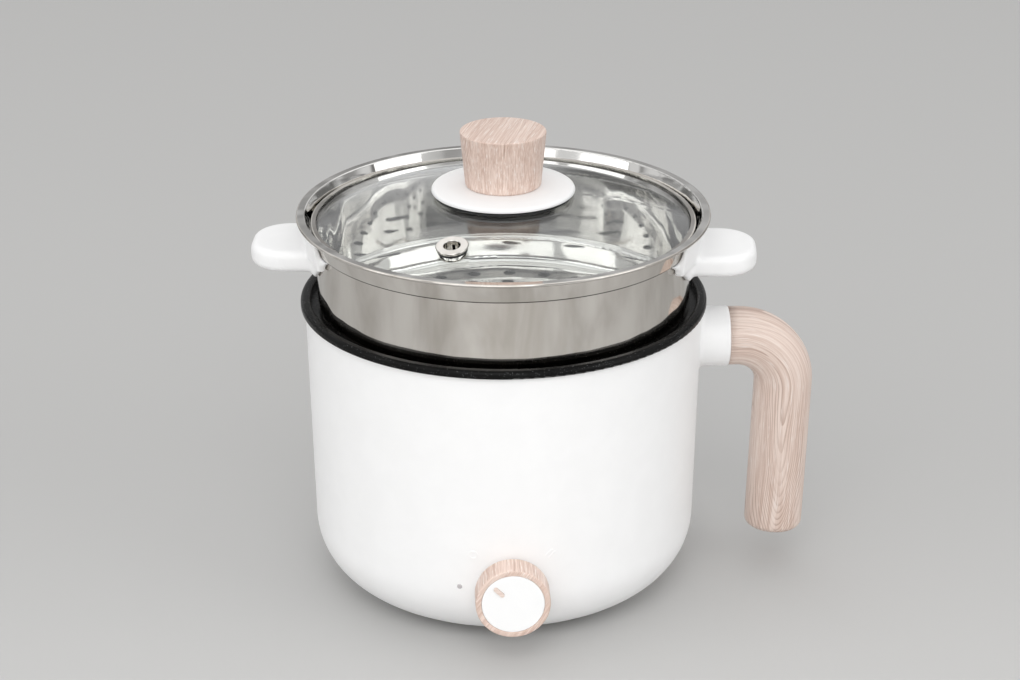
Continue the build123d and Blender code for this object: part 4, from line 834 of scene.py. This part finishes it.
# ---------- handle
@dataclass
class SideHandle:
    """The bent wood-look grip on the shell's collar."""

    radius: float = 14.6 * MM
    wall: float = 2.8 * MM
    bend_radius: float = 24.0 * MM
    straight: float = 4.5 * MM
    lean: float = radians(1.6)
    end_rounding: float = 3.6 * MM
    segments: int = 72
    bend_steps: int = 40
    leg_steps: int = 24
    rounding_steps: int = 8
    end_rings: tuple[float, ...] = (0.75, 0.5, 0.25)

    @property
    def down(self) -> Vector:
        """The way along the leg to its end."""
        return Vector((-sin(self.lean), 0.0, -cos(self.lean)))

    @property
    def outwards(self) -> Vector:
        """The way across the leg, away from the pot."""
        return Vector((cos(self.lean), 0.0, -sin(self.lean)))

    def centre_line(self) -> tuple[Vector, Vector, Vector]:
        """Find the grip's middle line.

        Returns:
            The start of the bend, its pivot and the start of the leg.
        """
        box = Extent.of("handle_grip")
        height = box.high.z - self.radius
        bend = Vector((box.low.x + self.straight, 0.0, height))
        pivot = bend - Vector((0.0, 0.0, self.bend_radius))
        return bend, pivot, pivot + self.bend_radius * self.outwards

    def build(self) -> Piece:
        """Model the grip: a circle extruded out, spun round the bend and drawn down to its end.

        Returns:
            The grip.
        """
        box = Extent.of("handle_grip")
        bend, pivot, leg = self.centre_line()
        deselect()
        bpy.ops.mesh.primitive_circle_add(
            vertices=self.segments, radius=self.radius, fill_type="NOTHING",
            location=(box.low.x, 0.0, bend.z), rotation=(0.0, pi / 2, 0.0))
        piece = name_new("wood_grip")
        settle(piece)
        bpy.ops.object.mode_set(mode="EDIT")
        bpy.ops.mesh.select_all(action="SELECT")
        extrude_ring(Vector((self.straight, 0.0, 0.0)))
        bpy.ops.mesh.spin(steps=self.bend_steps, angle=pi / 2 + self.lean, center=pivot,
                          axis=(0, -1, 0))
        length = (leg.z - box.low.z - self.end_rounding) / cos(self.lean)
        for _ in range(self.leg_steps):
            extrude_ring(self.down * (length / self.leg_steps))
        self.close_end(leg + self.down * length)
        close_up(piece)
        lay_grain(piece, self.grain)
        finish_modifier(piece, "SOLIDIFY", thickness=self.wall, offset=-1.0)
        return piece

    def close_end(self, centre: Vector) -> None:
        """Round the leg's end and close it with ever smaller rings, in edit mode.

        Args:
            centre: The middle of the ring where the rounding starts.
        """
        width, depth = self.radius, 0.0
        for step in range(1, self.rounding_steps + 1):
            turn = step / self.rounding_steps * pi / 2
            new_width = self.radius - self.end_rounding * (1 - cos(turn))
            new_depth = self.end_rounding * sin(turn)
            move = self.down * (new_depth - depth)
            centre = centre + move
            extrude_ring(move, new_width / width, centre)
            width, depth = new_width, new_depth
        for share in self.end_rings:
            new_width = share * (self.radius - self.end_rounding)
            extrude_ring(Vector(), new_width / width, centre)
            width = new_width
        extrude_ring(Vector())
        bpy.ops.mesh.merge(type="CENTER")

    def grain(self, place: Vector, _normal: Vector) -> Vector:
        """Return a point's place in the straightened grip, measured up from its end.

        Args:
            place: Where a face's corner lies.
            _normal: The face's normal, not used.

        Returns:
            The grain's coordinates there.
        """
        bend, pivot, leg = self.centre_line()
        leg_length = (leg.z - Extent.of("handle_grip").low.z) / cos(self.lean)
        out = place - pivot
        if place.x <= bend.x:
            along = leg_length + self.bend_radius * (pi / 2 + self.lean) + bend.x - place.x
            return Vector((along, out.z - self.bend_radius, place.y))
        turn = atan2(out.z, out.x)
        if turn >= -self.lean:
            along = leg_length + self.bend_radius * (turn + self.lean)
            return Vector((along, Vector((out.x, out.z)).length - self.bend_radius, place.y))
        below = place - leg
        return Vector((leg_length - below.dot(self.down), below.dot(self.outwards), place.y))


# ---------- ears
@dataclass
class Ear:
    """One moulded ear of the steamer, with its saddle and cuff blended into each other."""

    side: str
    voxel: float = 0.75 * MM
    smoothing: float = 0.5
    rounds: int = 14

    def build(self) -> Piece:
        """Merge a copy of the ear's solid and melt its edges as in a mould.

        Returns:
            The ear.
        """
        source = frame["nodes"][f"ear_{self.side}"]
        deselect()
        bpy.ops.mesh.primitive_cube_add(size=MM)
        piece = name_new(f"white_ear_{self.side}")
        blank = piece.data
        piece.data = source.data.copy()
        piece.data.name = piece.name
        bpy.data.meshes.remove(blank)
        piece.data.materials.clear()
        bpy.ops.object.mode_set(mode="EDIT")
        bpy.ops.mesh.select_all(action="SELECT")
        bpy.ops.mesh.remove_doubles(threshold=WELD)
        bpy.ops.mesh.customdata_custom_splitnormals_clear()
        bpy.ops.object.mode_set(mode="OBJECT")
        finish_modifier(piece, "REMESH", mode="VOXEL", voxel_size=self.voxel,
                        use_smooth_shade=True)
        finish_modifier(piece, "SMOOTH", factor=self.smoothing, iterations=self.rounds)
        return piece


# ---------- lid's top
@dataclass
class LidKnob:
    """The wood-look knob on the lid's white disc."""

    foot_chamfer: float = 0.8 * MM
    top_rounding: float = 0.7 * MM
    foot_radius: float = 18.4 * MM
    foot_flare: float = 0.08 * MM
    top_flare: float = 0.07 * MM
    bore_radius: float = 4.05 * MM
    bore_depth: float = 15.0 * MM
    side_start: float = 0.11
    top_start: Triple = (0.21, 0.012, 0.013)
    top_turn: float = radians(74.0)
    fineness: float = 1.8
    segments: int = 96

    def build(self) -> Piece:
        """Turn the knob from its half section, with the bore for its insert.

        Returns:
            The knob.
        """
        box = Extent.of("lid_knob")
        top_radius = box.high.x + self.top_flare
        floor = box.low.z
        outline = (
            Outline(step=15.0)
            .to(0.0, floor + self.bore_depth)
            .to(self.bore_radius, floor + self.bore_depth)
            .to(self.bore_radius, floor)
            .to(self.foot_radius - self.foot_chamfer, floor)
            .to(self.foot_radius + self.foot_flare, floor + self.foot_chamfer)
            .to(top_radius, box.high.z, self.top_rounding)
            .to(0.0, box.high.z)
        )
        piece = spin_up("wood_lid_knob", outline.points(closed=False), self.segments)
        lay_grain(piece, self.grain)
        return piece

    def grain(self, place: Vector, normal: Vector) -> Vector:
        """Run the grain up the knob's side and slantwise over its top.

        Args:
            place: Where a face's corner lies.
            normal: The face's normal.

        Returns:
            The grain's coordinates there.
        """
        if normal.z > END_FACE:
            start, side, depth = self.top_start
            along, across = slant(place.x, place.y, self.top_turn)
            return Vector((along + start, across * self.fineness + side, depth))
        return Vector((place.z + self.side_start, place.x * self.fineness,
                       place.y * self.fineness))


@dataclass
class KnobDisc:
    """The white disc between the glass and the lid's knob, softly rounded to a thin edge."""

    bore: float = 2.6 * MM
    bore_foot: float = 1.6 * MM
    flat: float = 27.0 * MM
    crown_rounding: float = 9.0 * MM
    edge_drop: float = 1.0 * MM
    edge_rounding: float = 1.7 * MM
    edge_height: float = 2.9 * MM
    under_rounding: float = 0.5 * MM
    under_radius: float = 33.0 * MM
    under_drop: float = 0.45 * MM
    foot_radius: float = 32.2 * MM
    foot_height: float = 0.25 * MM
    segments: int = 128

    def build(self) -> Piece:
        """Turn the disc from its half section.

        Returns:
            The disc.
        """
        box = Extent.of("knob_disc")
        radius = box.size.x / 2
        top = box.high.z
        outline = (
            Outline(step=9.0)
            .to(self.bore, box.low.z + self.bore_foot)
            .to(self.bore, top)
            .to(self.flat, top, self.crown_rounding)
            .to(radius, top - self.edge_drop, self.edge_rounding)
            .to(radius, top - self.edge_height, self.under_rounding)
            .to(self.under_radius, top - self.edge_height - self.under_drop)
            .to(self.foot_radius, box.low.z + self.foot_height)
        )
        return spin_up("white_knob_disc", outline.points(closed=True), self.segments)


# ---------- control knob
@dataclass
class ControlRing:
    """The wood-look ring round the control knob's face."""

    wall: float = 2.8 * MM
    rounding: float = 0.9 * MM
    inner_rounding: float = 0.45 * MM
    side_start: float = 0.4
    face_start: float = 0.33
    face_depth: float = 0.02
    face_turn: float = atan2(0.6, 0.8)
    segments: int = 96

    def build(self) -> Piece:
        """Turn the ring about the vertical and lay it over onto the knob's axis.

        Returns:
            The ring.
        """
        box = Extent.of("control_ring")
        radius = box.size.x / 2
        depth = box.size.y
        outline = (
            Outline(step=15.0)
            .to(radius - self.wall, 0.0)
            .to(radius, 0.0, self.rounding)
            .to(radius, depth, self.rounding)
            .to(radius - self.wall, depth, self.inner_rounding)
        )
        piece = spin_up("wood_control_ring", outline.points(closed=True), self.segments)
        piece.rotation_euler = (pi / 2, 0.0, 0.0)
        piece.location = (box.middle.x, box.high.y, box.middle.z)
        settle(piece)
        lay_grain(piece, self.grain)
        return piece

    def grain(self, place: Vector, normal: Vector) -> Vector:
        """Run the grain front to back on the ring's outside and slantwise over its face.

        Args:
            place: Where a face's corner lies.
            normal: The face's normal.

        Returns:
            The grain's coordinates there.
        """
        if normal.y < -END_FACE:
            along, across = slant(place.z, place.x, self.face_turn)
            return Vector((along + self.face_start, across, self.face_depth))
        return Vector((place.y + self.side_start, place.x, place.z))


@dataclass
class PointerBar:
    """The wood-look bar let into the control knob's face, slanting up to the left."""

    inner_end: float = 6.25 * MM
    outer_end: float = 12.55 * MM
    width: float = 2.1 * MM
    end_rounding: float = 1.0 * MM
    rounding_steps: int = 6
    turn: float = radians(135.0)
    grain_start: float = 0.5

    def build(self) -> Piece:
        """Shape the bar from a cube, round its edges and turn it into its slot.

        Returns:
            The bar.
        """
        box = Extent.of("pointer_bar")
        hub = Extent.of("control_face").middle
        length = self.outer_end - self.inner_end
        way = Vector((cos(self.turn), 0.0, sin(self.turn)))
        middle = Vector((hub.x, box.middle.y, hub.z)) + way * (self.inner_end + length / 2)
        deselect()
        bpy.ops.mesh.primitive_cube_add(size=1.0)
        piece = name_new("wood_pointer")
        piece.scale = (length, box.size.y, self.width)
        settle(piece)
        bpy.ops.object.mode_set(mode="EDIT")
        bpy.ops.mesh.select_mode(type="EDGE")
        bpy.ops.mesh.select_all(action="DESELECT")
        bpy.ops.object.mode_set(mode="OBJECT")
        for edge in piece.data.edges:
            first, last = (piece.data.vertices[index].co for index in edge.vertices)
            edge.select = abs(first.y - last.y) > box.size.y / 2
        bpy.ops.object.mode_set(mode="EDIT")
        bpy.ops.mesh.bevel(offset=self.end_rounding, segments=self.rounding_steps,
                           affect="EDGES")
        bpy.ops.mesh.select_mode(type="VERT")
        bpy.ops.object.mode_set(mode="OBJECT")
        piece.location = middle
        piece.rotation_euler = (0.0, -self.turn, 0.0)
        settle(piece)
        bpy.ops.object.shade_smooth_by_angle(angle=radians(SHARP))
        lay_grain(piece, lambda place, _normal: Vector(
            ((place - middle).dot(way) + self.grain_start, place.y, place.z)))
        return piece


# ---------- studio
@dataclass
class Lamp:
    """A square soft box that points at its target."""

    name: str
    place: Triple
    size: float
    watts: float
    target: Triple = (0.0, 0.0, 0.11)
    spread: float = pi


SOFT_BOXES = (
    Lamp("key_light", (-0.3, -2.0, 1.1), 2.2, 18.0),
    Lamp("right_light", (1.7, -0.9, 0.9), 1.3, 7.5),
    Lamp("left_light", (-1.8, -0.8, 0.9), 1.3, 7.0),
    Lamp("table_light", (0.0, -0.66, 0.70), 0.4, 0.55, (0.0, -0.50, 0.0), radians(75.0)),
    Lamp("top_light", (0.1, 0.7, 1.8), 2.0, 4.0),
)


@dataclass
class Studio:
    """The camera, the soft boxes, the pale floor and the draped surroundings."""

    camera_place: Vector = Vector((-0.0412, -1.1322, 0.6024))
    camera_yaw: float = radians(2.24)
    camera_pitch: float = radians(22.90)
    camera_roll: float = radians(-0.148)
    lens: float = 87.2
    sensor: float = 36.0
    floor_size: float = 12.0
    floor_colour: Colour = (0.49, 0.487, 0.48)
    floor_roughness: float = 0.7
    drape_stretch: Triple = (2.2, 2.2, 0.6)
    drape_scale: float = 1.7
    drape_ramp: Ramp = (0.42, 0.58, 0.15, 1.0)
    drape_colours: tuple[Colour, Colour] = ((0.14, 0.135, 0.13), (1.1, 1.1, 1.1))
    ceiling_ramp: Ramp = (0.18, 0.75)
    ceiling_colour: Colour = (1.32, 1.32, 1.32)
    ambient: float = 0.66

    def build(self) -> None:
        """Set up everything that isn't part of the object."""
        self.add_camera()
        for lamp in SOFT_BOXES:
            self.add_lamp(lamp)
        self.add_floor()
        self.fill_world()
        bpy.context.scene.view_settings.view_transform = "Standard"
        log.info("studio is set")

    def add_camera(self) -> None:
        """Place the camera by its yaw, pitch and roll."""
        level = cos(self.camera_pitch)
        forward = Vector((sin(self.camera_yaw) * level, cos(self.camera_yaw) * level,
                          -sin(self.camera_pitch)))
        data = bpy.data.cameras.new("camera")
        data.lens = self.lens
        data.sensor_width = self.sensor
        camera = bpy.data.objects.new("camera", data)
        camera.location = self.camera_place
        camera.rotation_mode = "QUATERNION"
        roll = Quaternion((0.0, 0.0, 1.0), self.camera_roll)
        camera.rotation_quaternion = forward.to_track_quat("-Z", "Y") @ roll
        bpy.context.scene.collection.objects.link(camera)
        bpy.context.scene.camera = camera

    def add_lamp(self, lamp: Lamp) -> None:
        """Place one soft box.

        Args:
            lamp: Its place, size and power.
        """
        data = bpy.data.lights.new(lamp.name, "AREA")
        data.shape = "SQUARE"
        data.size = lamp.size
        data.energy = lamp.watts
        data.spread = lamp.spread
        box = bpy.data.objects.new(lamp.name, data)
        box.location = lamp.place
        aim = Vector(lamp.target) - Vector(lamp.place)
        box.visible_camera = False
        box.rotation_mode = "QUATERNION"
        box.rotation_quaternion = aim.to_track_quat("-Z", "Y")
        bpy.context.scene.collection.objects.link(box)

    def add_floor(self) -> None:
        """Lay the plain pale floor."""
        deselect()
        bpy.ops.mesh.primitive_plane_add(size=self.floor_size)
        floor = bpy.context.object
        floor.name = "floor"
        made = bpy.data.materials.new("floor")
        made.use_nodes = True
        shader = made.node_tree.nodes["Principled BSDF"]
        shader.inputs["Base Color"].default_value = opaque(self.floor_colour)
        shader.inputs["Roughness"].default_value = self.floor_roughness
        floor.data.materials.append(made)

    def fill_world(self) -> None:
        """Light the scene from soft drapes all round, under a brighter ceiling."""
        world = bpy.data.worlds.new("surroundings")
        world.use_nodes = True
        bench = Bench(world.node_tree)
        background = world.node_tree.nodes["Background"]
        way = bench.place("ShaderNodeTexCoord").outputs["Generated"]
        height = bench.place("ShaderNodeSeparateXYZ", {"Vector": way}).outputs["Z"]
        drapes = bench.noise(bench.stretch(way, self.drape_stretch), self.drape_scale, detail=1.0)
        room = bench.blend(bench.remap(drapes, *self.drape_ramp), *self.drape_colours)
        ceiling = bench.remap(height, *self.ceiling_ramp)
        room = bench.blend(ceiling, room, self.ceiling_colour)
        bench.join(room, background.inputs["Color"])
        background.inputs["Strength"].default_value = self.ambient
        bpy.context.scene.world = world


def main() -> None:
    """Build the studio and dress the pot, piece by piece."""
    logging.basicConfig(level=logging.INFO, format="%(name)s: %(message)s")
    Studio().build()
    workshop = Workshop()
    workshop.dress_nodes()
    workshop.dress(frame["nodes"]["steamer_basket"], DRAWN_STEEL.name)
    workshop.mount(SideHandle().build(), WOOD, "base", "handle_grip")
    for side in ("left", "right"):
        workshop.mount(Ear(side).build(), WHITE, "steamer", f"ear_{side}")
    workshop.mount(LidKnob().build(), FINE_WOOD, "lid", "lid_knob")
    workshop.mount(KnobDisc().build(), WHITE, "lid", "knob_disc")
    workshop.mount(ControlRing().build(), FINE_WOOD, "control", "control_ring")
    workshop.mount(PointerBar().build(), WOOD, "control", "pointer_bar")


if __name__ == "__main__":
    main()
